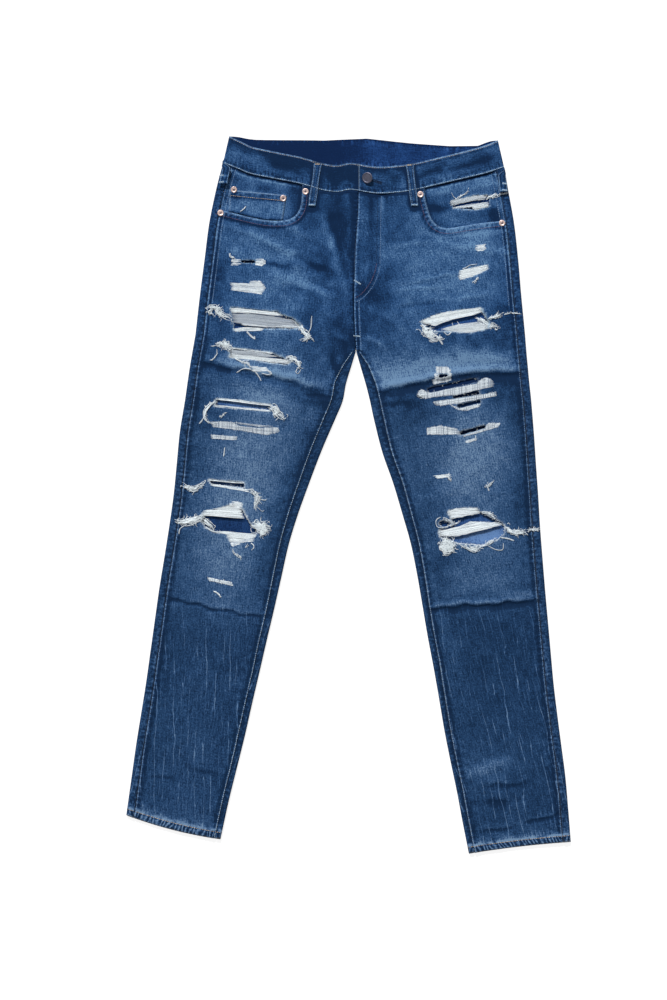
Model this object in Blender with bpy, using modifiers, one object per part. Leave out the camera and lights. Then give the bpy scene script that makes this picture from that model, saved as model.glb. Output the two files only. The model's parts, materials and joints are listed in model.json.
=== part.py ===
"""Ripped slim jeans lying flat, front up.

The tables are in millimetres: +X towards the wearer's left, +Y towards the waist, +Z up, with the
underside on z = 0. Each leg is a flattened tube. Its rows run from the outer fold to the centre
line or, below the crotch, to the inner fold. The back panel wraps round both folds, and the front
panel lies between the seams on top.
"""

import math
from collections import namedtuple

import bmesh
import bpy
import numpy as np

MM = 0.001
GARMENT = "ripped_jeans"

# Cloth, and the gap that sewn edges keep.
DENIM = 1.2
BAND_CLOTH = 2.2
LOOP_CLOTH = 1.4
TRIM_CLOTH = 1.2
ZIP_CLOTH = 0.9
GAP = 0.3

# Heights of the flattened tube.
LEG_HEIGHT = 5.8
SEAT_LIFT = 1.5
SEAT_RAMP = (205.0, 245.0)
BAND_TOP = 8.0
FLAP_RISE = 1.4
FLAP_RAMP = (55.0, 88.0)
UNDERLAP_SINK = 1.1
UNDERLAP_RAMP = (-25.0, 5.0)
UNDERLAP_AT = (54.0, 33.0)
UNDERLAP_CLEAR = 2.0

# The folds at a leg's two edges, and how far the back panel comes round to the outseam.
FOLD = 4.5
BAND_FOLD = 3.5
CROTCH_FOLD = 2.0
FOLD_STEPS = 6
OUTSEAM = 12.8
STRIP_MIDDLE = 8.5

# The flat frame of the plan, moved so that the garment's box is centred on the origin.
CENTRE_X = 12.8
PLAN_SHIFT = (-0.75, -0.1)

BAND_HEIGHT = 43.5
BAND_LEAN = 10.0
BELT_LOOP_WIDTH = 13.0
RIVET_RADIUS = 4.7
BUTTON_AT = (31.0, 506.4)

# outer_x, outer_y, inner_x, inner_y, back_inner_y, inseam
# Rows 0 to 5 end on the centre line; row 1 is the yoke seam and row 5 the crotch.
CROTCH_ROW = 5
RIGHT_ROWS = (
    (-200.0, 530.0, 12.8, 486.6, 523.0, 3.0),
    (-211.0, 488.0, 12.8, 450.0, 450.0, 3.0),
    (-222.0, 434.0, 12.8, 400.0, 400.0, 3.0),
    (-229.5, 376.0, 12.8, 345.0, 345.0, 3.0),
    (-237.0, 318.0, 12.8, 288.0, 288.0, 3.0),
    (-244.0, 256.0, 12.8, 230.0, 230.0, 3.0),
    (-248.5, 231.0, 5.5, 206.0, 206.0, 12.0),
    (-253.0, 205.0, -3.0, 178.0, 178.0, 17.0),
    (-257.0, 178.0, -8.5, 150.0, 150.0, 17.0),
    (-261.0, 150.0, -20.5, 121.0, 121.0, 17.0),
    (-269.0, 101.0, -42.0, 71.0, 71.0, 16.0),
    (-274.0, 50.0, -61.5, 20.0, 20.0, 15.0),
    (-279.0, 0.0, -79.5, -30.0, -30.0, 14.0),
    (-286.0, -50.0, -94.5, -79.0, -79.0, 13.0),
    (-294.0, -101.0, -106.5, -132.0, -132.0, 12.0),
    (-302.0, -150.0, -118.0, -183.0, -183.0, 11.0),
    (-309.0, -200.0, -129.8, -233.0, -233.0, 11.0),
    (-316.0, -250.0, -141.3, -283.0, -283.0, 10.0),
    (-323.0, -300.0, -153.0, -333.0, -333.0, 10.0),
    (-331.0, -350.0, -164.7, -385.0, -385.0, 10.0),
    (-339.0, -400.0, -177.6, -437.0, -437.0, 9.0),
    (-346.0, -450.0, -190.2, -488.0, -488.0, 9.0),
    (-354.7, -511.7, -203.8, -550.2, -550.2, 9.0),
)
LEFT_ROWS = (
    (249.6, 523.4, 12.8, 486.0, 523.0, 3.0),
    (256.5, 485.0, 12.8, 450.0, 450.0, 3.0),
    (265.5, 434.0, 12.8, 400.0, 400.0, 3.0),
    (272.0, 376.0, 12.8, 345.0, 345.0, 3.0),
    (277.0, 318.0, 12.8, 288.0, 288.0, 3.0),
    (283.0, 256.0, 12.8, 230.0, 230.0, 3.0),
    (285.0, 231.0, 20.0, 205.0, 205.0, 12.0),
    (287.5, 205.0, 28.5, 176.0, 176.0, 15.0),
    (290.0, 178.0, 35.0, 150.0, 150.0, 15.0),
    (293.0, 150.0, 41.5, 120.0, 120.0, 15.0),
    (297.0, 101.0, 54.5, 69.0, 69.0, 14.0),
    (300.5, 50.0, 72.0, 19.0, 19.0, 14.0),
    (304.0, 0.0, 86.6, -30.0, -30.0, 13.0),
    (307.0, -50.0, 100.2, -78.0, -78.0, 12.0),
    (311.0, -101.0, 110.6, -129.0, -129.0, 11.0),
    (315.0, -150.0, 119.0, -178.0, -178.0, 10.0),
    (319.5, -200.0, 127.3, -227.0, -227.0, 10.0),
    (324.0, -250.0, 136.6, -276.0, -276.0, 10.0),
    (328.5, -300.0, 145.2, -325.0, -325.0, 9.0),
    (334.5, -350.0, 153.6, -375.0, -375.0, 9.0),
    (341.0, -400.0, 163.5, -425.0, -425.0, 9.0),
    (347.5, -450.0, 173.6, -473.0, -473.0, 9.0),
    (352.0, -501.0, 182.6, -521.0, -521.0, 9.0),
    (356.2, -554.4, 193.0, -573.3, -573.3, 9.0),
)
# How far the middle of each hem hangs below a straight line.
RIGHT_HEM_BOW = 4.5
LEFT_HEM_BOW = -2.0

# The waistband's seam on the front: x, y.
FRONT_SEAM = (
    (-200.0, 530.0),
    (-178.0, 521.6),
    (-157.0, 513.0),
    (-126.0, 506.5),
    (-77.0, 497.0),
    (-45.0, 487.5),
    (-19.0, 483.5),
    (0.0, 487.0),
    (12.8, 486.4),
    (30.0, 483.0),
    (51.0, 481.0),
    (84.0, 483.5),
    (110.0, 487.5),
    (133.0, 493.0),
    (184.0, 505.0),
    (221.0, 514.0),
    (249.6, 523.4),
)
# The waistband on the back: x, seam_y, top_y.
BACK_BAND = (
    (-200.0, 530.0, 573.0),
    (-150.0, 524.0, 568.0),
    (-38.0, 522.5, 567.0),
    (30.0, 525.5, 570.0),
    (100.0, 518.0, 562.5),
    (163.0, 513.5, 558.0),
    (211.0, 515.0, 558.5),
    (249.6, 523.4, 565.5),
)

# The mouths of the front pockets, from the waistband round to the outseam: x, y.
RIGHT_MOUTH = (
    (-72.0, 530.0),
    (-73.6, 482.0),
    (-76.5, 460.0),
    (-85.0, 446.0),
    (-101.0, 439.0),
    (-131.0, 439.0),
    (-171.0, 447.4),
    (-206.0, 456.5),
    (-240.0, 466.0),
)
LEFT_MOUTH = (
    (121.0, 530.0),
    (123.0, 478.0),
    (127.0, 460.0),
    (133.0, 442.0),
    (143.5, 430.5),
    (159.5, 426.4),
    (187.0, 430.4),
    (214.4, 434.7),
    (245.0, 438.0),
    (285.0, 442.0),
)

# The deepest creases across the fronts: name, depth, half_width, points from outer to inner.
CREASES = (
    ("right_thigh", 1.3, 8.0, ((-240.0, 209.0), (-130.0, 190.0), (-38.0, 168.0))),
    ("right_knee", 1.2, 8.0, ((-302.0, -164.0), (-230.0, -174.0), (-124.0, -193.0))),
    ("left_thigh", 1.3, 8.0, ((282.0, 197.0), (173.0, 189.0), (50.0, 168.0))),
    ("left_knee", 1.2, 8.0, ((316.0, -165.0), (214.0, -173.0), (132.0, -177.0))),
)

# Openings torn in the cloth: piece, x_from, x_to, y_from, y_to, height.
RIPS = (
    ("right_front", -187.0, -130.0, 331.0, 331.0, 17.0),
    ("right_front", -189.0, -62.0, 286.0, 272.0, 30.0),
    ("right_front", -190.0, -82.0, 226.0, 212.0, 24.0),
    ("right_front", -211.0, -98.0, 147.0, 143.0, 16.0),
    ("right_front", -222.0, -160.0, 19.0, 15.0, 9.0),
    ("right_front", -239.0, -142.0, -44.0, -44.0, 32.0),
    ("left_front", 178.0, 226.0, 352.0, 362.0, 20.0),
    ("left_front", 128.0, 244.0, 276.0, 288.0, 32.0),
    ("left_front", 120.0, 228.0, 168.0, 172.0, 18.0),
    ("left_front", 148.0, 252.0, -54.0, -50.0, 40.0),
    ("left_pocket_facing", 176.0, 234.0, 468.0, 472.0, 15.0),
)
RIP_STEPS = 7
RIP_JAG = 0.16

# Belt loops: name, top_x, top_y, bottom_x, bottom_y. The side loops peep out past the folds.
FRONT_LOOPS = (
    ("belt_loop_1", -48.0, 529.5, -58.0, 461.0),
    ("belt_loop_2", 98.5, 528.0, 106.5, 461.0),
)
BACK_LOOPS = (
    ("belt_loop_3", -182.0, 566.0, -204.5, 497.0),
    ("belt_loop_4", 12.8, 566.0, 12.8, 497.0),
    ("belt_loop_5", 232.0, 558.0, 251.0, 484.0),
)

# Rivets, in the plan: x, y.
RIVETS = (
    (-182.4, 488.0),
    (-103.7, 474.2),
    (-68.0, 485.0),
    (-203.6, 450.6),
    (115.7, 480.3),
    (246.1, 434.5),
)

# Rows at which the panels are sampled: close together across the creases and at the crotch.
PANEL_ROWS = (
    0.5, 1.0, 1.5, 2.0, 3.0, 4.0, 4.95, 5.0, 6.0, 6.6, 6.9, 7.2, 7.5, 8.0, 9.0, 10.0,
    11.0, 12.0, 13.0, 14.0, 14.9, 15.1, 15.3, 15.5, 17.0, 18.0, 19.0, 20.0, 21.0, 22.0, 23.0,
)
FIRST_ROW = 0.0075
YOKE_ROW = 1.0
YOKE_GAP = 0.003
FRONT_COLUMNS = 8
BACK_COLUMNS = 6
WAIST_REACH = 1.5

DENIM_BLUE = (0.045, 0.105, 0.235, 1.0)
DENIM_DARK = (0.03, 0.075, 0.18, 1.0)
COPPER = (0.62, 0.38, 0.30, 1.0)
PEWTER = (0.16, 0.17, 0.20, 1.0)

Row = namedtuple("Row", "outer front_inner back_inner inseam")
Leg = namedtuple("Leg", "name rows side mouth hem_bow")

RIGHT = Leg("right", RIGHT_ROWS, -1.0, RIGHT_MOUTH, RIGHT_HEM_BOW)
LEFT = Leg("left", LEFT_ROWS, 1.0, LEFT_MOUTH, LEFT_HEM_BOW)


def smoothstep(low, high, value):
    share = min(max((value - low) / (high - low), 0.0), 1.0)
    return share * share * (3.0 - 2.0 * share)


def spline(before, start, end, after, share):
    """Catmull-Rom between start and end."""
    slope_start = (end - before) / 2.0
    slope_end = (after - start) / 2.0
    square, cube = share * share, share**3
    return (
        start * (2 * cube - 3 * square + 1)
        + slope_start * (cube - 2 * square + share)
        + end * (3 * square - 2 * cube)
        + slope_end * (cube - square)
    )


def along(table, x, column=1):
    """A column of a table read at x, by straight lines between its rows."""
    rows = np.array(table)
    return float(np.interp(x, rows[:, 0], rows[:, column]))


def last_row(leg):
    return len(leg.rows) - 1


def row_at(leg, t):
    """The row at t, smooth within the hips and within the leg, with a corner at the crotch."""
    rows = np.array(leg.rows)
    low, high = (0, CROTCH_ROW) if t < CROTCH_ROW else (CROTCH_ROW, len(rows) - 1)
    i = min(max(int(t), low), high - 1)
    before = rows[i - 1] if i > low else 2 * rows[i] - rows[i + 1]
    after = rows[i + 2] if i + 2 <= high else 2 * rows[i + 1] - rows[i]
    values = spline(before, rows[i], rows[i + 1], after, t - i)
    inseam = rows[i, 5] + (rows[i + 1, 5] - rows[i, 5]) * (t - i)
    inner_x = values[2] + leg.side * GAP / 2
    return Row(
        values[:2],
        np.array((inner_x, values[3])),
        np.array((inner_x, values[4])),
        inseam,
    )


def plan_point(leg, t, distance, back=False):
    """The x, y at a distance from the outer fold, along the row at t on the front or the back."""
    row = row_at(leg, t)
    inner = row.back_inner if back else row.front_inner
    share = distance / np.linalg.norm(inner - row.outer)
    point = row.outer + (inner - row.outer) * share
    pull = max(0.0, 1.0 - (t / WAIST_REACH) ** 2) ** 2
    if pull > 0.0:
        waist = row_at(leg, 0.0)
        waist_inner = waist.back_inner if back else waist.front_inner
        line = waist.outer + (waist_inner - waist.outer) * share
        seam = along(BACK_BAND if back else FRONT_SEAM, line[0])
        point[1] += (seam - line[1]) * pull
    near_hem = max(0.0, t - (last_row(leg) - 1.0))
    point[1] -= leg.hem_bow * near_hem * 4.0 * share * (1.0 - share)
    return point


def row_length(leg, t, back=False):
    row = row_at(leg, t)
    inner = row.back_inner if back else row.front_inner
    return float(np.linalg.norm(inner - row.outer))


def under_z(y):
    """The underside: on the floor along the legs, lifted by the back pockets at the seat."""
    return SEAT_LIFT * smoothstep(*SEAT_RAMP, y)


def crease_depth(x, y):
    """How far the creases sink the front at x, y. Each one fades out at its two ends."""
    total = 0.0
    for _, depth, half_width, points in CREASES:
        line = np.array(points)
        low, high = sorted((line[0, 0], line[-1, 0]))
        if not low < x < high:
            continue
        order = np.argsort(line[:, 0])
        away = y - np.interp(x, line[order, 0], line[order, 1])
        ends = math.sin(math.pi * (x - low) / (high - low)) ** 0.5
        total += depth * ends * math.exp(-((away / half_width) ** 2))
    return total


def top_z(x, y):
    return under_z(y) + LEG_HEIGHT - crease_depth(x, y)


def placed(x, y, z):
    """A point of the plan in metres, in the garment's own frame."""
    return ((x + PLAN_SHIFT[0]) * MM, (y + PLAN_SHIFT[1]) * MM, z * MM)


def front_point(leg, t, distance, sink=0.0):
    x, y = plan_point(leg, t, distance)
    return placed(x, y, top_z(x, y) - sink)


def fold_point(leg, t, angle, reach, inner=False):
    """A point on a fold: angle is +90 degrees on top, 0 at the edge, -90 underneath."""
    back = angle < 0.0
    inset = reach * (1.0 - math.cos(angle))
    distance = row_length(leg, t, back) - inset if inner else inset
    x, y = plan_point(leg, t, distance, back)
    z = under_z(y) + LEG_HEIGHT / 2.0 * (1.0 + math.sin(angle))
    return placed(x, y, z)


def fold_angles(steps=FOLD_STEPS):
    return [math.pi / 2 - math.pi * i / steps for i in range(steps + 1)]


def wrapped_section(leg, t, below_crotch):
    """One row of a back panel: outer strip, outer fold, underside, inner fold and inner strip."""
    section = [front_point(leg, t, OUTSEAM - GAP / 2), front_point(leg, t, STRIP_MIDDLE)]
    section += [fold_point(leg, t, angle, FOLD) for angle in fold_angles()]
    row = row_at(leg, t)
    length = row_length(leg, t, back=True)
    inner_fold = FOLD if row.inseam > 2 * FOLD else CROTCH_FOLD
    end = length - inner_fold if below_crotch else length
    for i in range(1, BACK_COLUMNS + 1):
        distance = FOLD + (end - FOLD) * i / BACK_COLUMNS
        x, y = plan_point(leg, t, distance, back=True)
        section.append(placed(x, y, under_z(y)))
    if below_crotch:
        for angle in fold_angles()[-2::-1]:
            section.append(fold_point(leg, t, angle, inner_fold, inner=True))
        strip_end = row.inseam - GAP / 2
        for share in (0.5, 1.0):
            inset = inner_fold + (strip_end - inner_fold) * share
            section.append(front_point(leg, t, row_length(leg, t) - inset))
    return section


def front_section(leg, t, below_crotch, sink=0.0):
    """One row of a front panel, from the outseam to the inseam or the centre line."""
    start = OUTSEAM + GAP / 2
    end = row_length(leg, t)
    if below_crotch:
        end -= row_at(leg, t).inseam + GAP / 2
    steps = [start + (end - start) * i / FRONT_COLUMNS for i in range(FRONT_COLUMNS + 1)]
    return [front_point(leg, t, distance, sink) for distance in steps]


def paint(obj, colour, roughness, metallic=0.0):
    material = bpy.data.materials.new(obj.name)
    material.use_nodes = True
    shader = material.node_tree.nodes["Principled BSDF"]
    shader.inputs["Base Color"].default_value = colour
    shader.inputs["Roughness"].default_value = roughness
    shader.inputs["Metallic"].default_value = metallic
    obj.data.materials.append(material)


def keep(name, data, garment):
    obj = bpy.data.objects.new(name, data)
    garment.objects.link(obj)
    return obj


def cloth(name, sections, thickness, garment, flip=False, outwards=False, colour=DENIM_BLUE):
    """A sheet lofted through sections, which may be of unlike lengths, and given its thickness."""
    mesh = bpy.data.meshes.new(name)
    sheet = bmesh.new()
    rows = [[sheet.verts.new(point) for point in section] for section in sections]
    for first, second in zip(rows, rows[1:]):
        for i in range(min(len(first), len(second)) - 1):
            corners = (first[i], first[i + 1], second[i + 1], second[i])
            sheet.faces.new(corners[::-1] if flip else corners)
    sheet.to_mesh(mesh)
    sheet.free()
    obj = keep(name, mesh, garment)
    wall = obj.modifiers.new("Wall", "SOLIDIFY")
    wall.thickness = thickness * MM
    wall.offset = 1.0 if outwards else -1.0
    wall.use_even_offset = True
    paint(obj, colour, 0.85)
    return obj


def flat_piece(name, outline, low, thickness, garment, colour=DENIM_BLUE):
    """A flat cut piece from its outline in the plan."""
    curve = bpy.data.curves.new(name, "CURVE")
    curve.dimensions = "2D"
    curve.fill_mode = "BOTH"
    curve.extrude = thickness / 2.0 * MM
    edge = curve.splines.new("POLY")
    edge.points.add(len(outline) - 1)
    for point, (x, y) in zip(edge.points, outline):
        point.co = (*placed(x, y, 0.0), 1.0)
    edge.use_cyclic_u = True
    obj = keep(name, curve, garment)
    obj.location.z = (low + thickness / 2.0) * MM
    paint(obj, colour, 0.85)
    return obj


def turned(name, profile, steps, at, z, garment, colour):
    """A round metal piece: the profile runs from the crown down its outer side to the middle."""
    mesh = bpy.data.meshes.new(name)
    sheet = bmesh.new()
    points = [sheet.verts.new((radius * MM, 0.0, height * MM)) for radius, height in profile]
    for first, second in zip(points, points[1:]):
        sheet.edges.new((first, second))
    sheet.to_mesh(mesh)
    sheet.free()
    obj = keep(name, mesh, garment)
    obj.location = placed(*at, z)
    spin = obj.modifiers.new("Turn", "SCREW")
    spin.steps = steps
    spin.render_steps = steps
    spin.use_merge_vertices = True
    spin.merge_threshold = 0.00001
    paint(obj, colour, 0.35, 1.0)
    obj.data.shade_smooth()
    return obj


def prism(name, outline, low, high, cutters):
    """A cutter: the outline raised from low to high."""
    mesh = bpy.data.meshes.new(name)
    block = bmesh.new()
    base = block.faces.new([block.verts.new(placed(x, y, low)) for x, y in outline])
    raised = bmesh.ops.extrude_face_region(block, geom=[base])
    lifted = [item for item in raised["geom"] if isinstance(item, bmesh.types.BMVert)]
    bmesh.ops.translate(block, verts=lifted, vec=(0.0, 0.0, (high - low) * MM))
    bmesh.ops.recalc_face_normals(block, faces=block.faces)
    block.to_mesh(mesh)
    block.free()
    obj = bpy.data.objects.new(name, mesh)
    obj.hide_render = True
    obj.display_type = "WIRE"
    cutters.objects.link(obj)
    return obj


def cut(obj, cutter, operation="DIFFERENCE"):
    step = obj.modifiers.new(cutter.name, "BOOLEAN")
    step.object = cutter
    step.operation = operation
    step.solver = "EXACT"


def mouth_outline(leg, inwards=0.0):
    """The pocket corner that the mouth cuts from the front, or that corner less a margin."""
    line = np.array(leg.mouth)
    steps = np.diff(line, axis=0)
    heading = np.vstack([steps[:1], steps[:-1] + steps[1:], steps[-1:]])
    heading /= np.linalg.norm(heading, axis=1)[:, None]
    aside = np.column_stack([heading[:, 1], -heading[:, 0]]) * -leg.side * inwards
    line = line + aside
    corner = (line[-1, 0] + leg.side * 30.0, line[0, 1] + 60.0)
    outline = [tuple(point) for point in line]
    outline += [(corner[0], line[-1, 1]), corner, (line[0, 0], corner[1])]
    return outline


def rip_outline(x_from, x_to, y_from, y_to, height):
    """A lens with torn edges, whose teeth follow a fixed uneven rhythm."""
    upper, lower = [], []
    for i in range(1, RIP_STEPS):
        share = i / RIP_STEPS
        x = x_from + (x_to - x_from) * share
        y = y_from + (y_to - y_from) * share
        reach = height / 2.0 * (math.sin(math.pi * share) ** 0.45)
        jag = RIP_JAG * height
        upper.append((x, y + reach + jag * math.sin(2.3 * i + x_from)))
        lower.append((x, y - reach + jag * math.sin(3.1 * i + y_from)))
    return [(x_from, y_from), *upper, (x_to, y_to), *lower[::-1]]


def rounded(corners, radius, steps=4):
    """An outline with each corner turned into an arc of about this radius."""
    outline = []
    count = len(corners)
    for i in range(count):
        here = np.array(corners[i])
        back = np.array(corners[i - 1]) - here
        ahead = np.array(corners[(i + 1) % count]) - here
        start = here + back / np.linalg.norm(back) * radius
        end = here + ahead / np.linalg.norm(ahead) * radius
        for k in range(steps + 1):
            share = k / steps
            point = (1 - share) ** 2 * start + 2 * share * (1 - share) * here + share**2 * end
            outline.append(tuple(point))
    return outline


def leg_rows(leg, start):
    """The sampled rows from start to the hem, each with whether it lies below the crotch."""
    rows = [start] + [t for t in PANEL_ROWS if start + 0.01 < t <= last_row(leg)]
    return [(t, t >= CROTCH_ROW) for t in rows]


def make_fronts(garment):
    panels = {}
    for leg in (RIGHT, LEFT):
        name = f"{leg.name}_front"
        sections = [front_section(leg, t, below) for t, below in leg_rows(leg, FIRST_ROW)]
        panels[name] = cloth(name, sections, DENIM, garment, flip=leg.side < 0)
    return panels


def make_backs(garment):
    for leg in (RIGHT, LEFT):
        flip = leg.side > 0
        rows = leg_rows(leg, YOKE_ROW + YOKE_GAP)
        sections = [wrapped_section(leg, t, below) for t, below in rows]
        cloth(f"{leg.name}_back", sections, DENIM, garment, flip, colour=DENIM_DARK)
        yoke = [
            wrapped_section(leg, t, False)
            for t in (FIRST_ROW, YOKE_ROW / 2, YOKE_ROW - YOKE_GAP)
        ]
        cloth(f"{leg.name}_yoke", yoke, DENIM, garment, flip, colour=DENIM_DARK)


def make_facings(garment):
    """The pocket facings, one cloth below the fronts, which reach past the mouths under them."""
    facings = {}
    sink = DENIM + GAP
    for leg in (RIGHT, LEFT):
        reach = abs(leg.mouth[1][0] - leg.rows[0][0]) + 18.0
        steps = [OUTSEAM + GAP / 2 + (reach - OUTSEAM) * i / 5 for i in range(6)]
        rows = (FIRST_ROW, 0.5, 1.0, 1.5, 2.0)
        sections = [[front_point(leg, t, d, sink) for d in steps] for t in rows]
        name = f"{leg.name}_pocket_facing"
        facings[name] = cloth(name, sections, TRIM_CLOTH, garment, flip=leg.side < 0)
    return facings


def make_coin_pocket(garment, cutters):
    """The coin pocket on the wearer's right, from its top edge down to the mouth of the pocket."""
    corners = ((-190.0, 488.0), (-98.0, 479.0), (-106.0, 430.0), (-191.0, 430.0))
    low = LEG_HEIGHT + SEAT_LIFT - DENIM
    pocket = cloth(
        "coin_pocket",
        [
            [placed(*corners[0], low), placed(*corners[1], low)],
            [placed(*corners[3], low), placed(*corners[2], low)],
        ],
        DENIM - 0.1,
        garment,
        flip=True,
        outwards=True,
    )
    inside = prism("coin_pocket_reach", mouth_outline(RIGHT, GAP), 0.0, 20.0, cutters)
    cut(pocket, inside, "INTERSECT")
    return low + DENIM - 0.1


def band_levels(x):
    """The height of the band's face on top: the flap rises over the underlap, which sinks."""
    if x > CENTRE_X:
        return BAND_TOP + FLAP_RISE * (1.0 - smoothstep(*FLAP_RAMP, x))
    return BAND_TOP - UNDERLAP_SINK * smoothstep(*UNDERLAP_RAMP, x)


def band_station(leg, distance, level, back=False):
    """A line across the band, from its seam up to its top edge."""
    x, y = plan_point(leg, 0.0, distance, back)
    lean = BAND_LEAN * -leg.side * max(0.0, 1.0 - distance / 110.0) ** 2
    top = along(BACK_BAND, x, 2) if back else y + BAND_HEIGHT
    if back:
        front_y = leg.rows[0][1] + BAND_HEIGHT
        top = front_y + (top - front_y) * smoothstep(0.0, 40.0, distance)
    return [
        placed(x + lean * share, y + (top - y) * share, level) for share in (0.0, 0.5, 1.0)
    ]


def band_side(leg):
    """The stations of one half, from the centre front round the side fold to the centre back."""
    start = OUTSEAM + GAP / 2
    end = row_length(leg, 0.0)
    steps = [start + (end - start) * i / FRONT_COLUMNS for i in range(FRONT_COLUMNS + 1)]
    stations = []
    for distance in [*steps[::-1], STRIP_MIDDLE]:
        x = plan_point(leg, 0.0, distance)[0]
        stations.append(band_station(leg, distance, band_levels(x)))
    half = (BAND_TOP - SEAT_LIFT) / 2.0
    for angle in fold_angles():
        reach = BAND_FOLD if angle >= 0.0 else FOLD
        inset = reach * (1.0 - math.cos(angle))
        level = SEAT_LIFT + half * (1.0 + math.sin(angle))
        stations.append(band_station(leg, inset, level, back=angle < 0.0))
    length = row_length(leg, 0.0, back=True)
    for i in range(1, BACK_COLUMNS + 1):
        distance = FOLD + (length - FOLD) * i / BACK_COLUMNS
        stations.append(band_station(leg, distance, SEAT_LIFT, back=True))
    return stations


def make_waistband(garment):
    """One strip: underlap, round the back, and the lapping end over the underlap."""
    sunk = BAND_TOP - UNDERLAP_SINK
    underlap = []
    for x in UNDERLAP_AT:
        low = along(FRONT_SEAM, x) + UNDERLAP_CLEAR
        high = along(FRONT_SEAM, x) + BAND_HEIGHT
        underlap.append([placed(x, low + (high - low) * share, sunk) for share in (0.0, 0.5, 1.0)])
    stations = underlap + band_side(RIGHT) + band_side(LEFT)[-2::-1]
    cloth("waistband", stations, BAND_CLOTH, garment)


def make_fly(garment):
    """The shield under the fly, and the zip's tape under that."""
    seat = LEG_HEIGHT + SEAT_LIFT
    shield_low = seat - DENIM - GAP - TRIM_CLOTH
    shield = rounded(((-12.0, 480.0), (38.0, 480.0), (38.0, 330.0), (-12.0, 316.0)), 10.0)
    flat_piece("fly_shield", shield, shield_low, TRIM_CLOTH, garment, DENIM_DARK)
    tape = rounded(((0.0, 478.0), (28.0, 478.0), (28.0, 338.0), (0.0, 338.0)), 3.0)
    flat_piece("fly_zip", tape, shield_low - GAP - ZIP_CLOTH, ZIP_CLOTH, garment, PEWTER)


def make_back_pockets(garment):
    """Two patch pockets under the seat, each with its point towards the leg."""
    for name, x, tilt in (("right", -96.0, -4.0), ("left", 121.0, 4.0)):
        corners = (
            (x - 72.0, 432.0 - tilt),
            (x + 72.0, 432.0 + tilt),
            (x + 64.0, 314.0 + tilt),
            (x, 284.0),
            (x - 64.0, 314.0 - tilt),
        )
        outline = rounded(corners, 6.0, 2)
        flat_piece(f"{name}_back_pocket", outline, 0.0, DENIM, garment)


def make_front_loop(name, top, bottom, garment):
    """A belt loop over the band and down onto the front panel."""
    sections = []
    for share in (0.0, 0.3, 0.6, 0.72, 0.85, 1.0):
        x = top[0] + (bottom[0] - top[0]) * share
        y = top[1] + (bottom[1] - top[1]) * share
        seam = along(FRONT_SEAM, x)
        panel = LEG_HEIGHT + SEAT_LIFT
        level = panel + (BAND_TOP - panel) * smoothstep(seam - 10.0, seam - 3.0, y) + GAP
        half = BELT_LOOP_WIDTH / 2.0
        sections.append([placed(x - half, y, level), placed(x + half, y, level)])
    cloth(name, sections, LOOP_CLOTH, garment, flip=True, outwards=True)


def make_belt_loops(garment):
    for name, top_x, top_y, bottom_x, bottom_y in FRONT_LOOPS:
        make_front_loop(name, (top_x, top_y), (bottom_x, bottom_y), garment)
    half = BELT_LOOP_WIDTH / 2.0
    for name, top_x, top_y, bottom_x, bottom_y in BACK_LOOPS:
        corners = (
            (top_x - half, top_y),
            (top_x + half, top_y),
            (bottom_x + half, bottom_y),
            (bottom_x - half, bottom_y),
        )
        flat_piece(name, rounded(corners, 1.5, 2), 0.0, TRIM_CLOTH, garment)


def make_metal(garment, coin_level):
    """Six rivets with a raised middle, and the waist button on its short neck."""
    rivet = (
        (0.0, 1.7), (1.3, 1.6), (1.9, 0.9), (3.2, 1.2), (4.2, 0.9), (RIVET_RADIUS, 0.0), (0.0, 0.0)
    )
    for number, (x, y) in enumerate(RIVETS, 1):
        level = coin_level if number <= 2 else LEG_HEIGHT + SEAT_LIFT
        turned(f"rivet_{number}", rivet, 16, (x, y), level + GAP, garment, COPPER)
    button = (
        (0.0, 3.3), (4.9, 3.3), (5.9, 4.0), (7.7, 4.2), (8.6, 3.4), (8.3, 2.3), (3.2, 1.6),
        (3.2, 0.0), (0.0, 0.0),
    )
    turned("waist_button", button, 24, BUTTON_AT, BAND_TOP + FLAP_RISE + GAP, garment, PEWTER)


def tear(pieces, cutters):
    """Cuts the pocket corners and the rips."""
    for leg in (RIGHT, LEFT):
        corner = prism(f"{leg.name}_mouth", mouth_outline(leg), 0.0, 20.0, cutters)
        cut(pieces[f"{leg.name}_front"], corner)
    for number, (piece, *sizes) in enumerate(RIPS, 1):
        cutter = prism(f"rip_{number}", rip_outline(*sizes), 4.0, 20.0, cutters)
        cut(pieces[piece], cutter)


def main():
    for obj in list(bpy.data.objects):
        bpy.data.objects.remove(obj)
    garment = bpy.data.collections.new(GARMENT)
    cutters = bpy.data.collections.new("cutters")
    bpy.context.scene.collection.children.link(garment)
    bpy.context.scene.collection.children.link(cutters)
    pieces = make_fronts(garment)
    make_backs(garment)
    pieces.update(make_facings(garment))
    coin_level = make_coin_pocket(garment, cutters)
    make_waistband(garment)
    make_fly(garment)
    make_back_pockets(garment)
    make_belt_loops(garment)
    make_metal(garment, coin_level)
    tear(pieces, cutters)


main()
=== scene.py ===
"""Finishes a pair of ripped slim jeans that lies flat, front up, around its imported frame.

The tables are in millimetres in the garment's plan: +X towards the wearer's left and +Y towards the
waist. Heights are above the surface that the garment rests on.
"""

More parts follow.
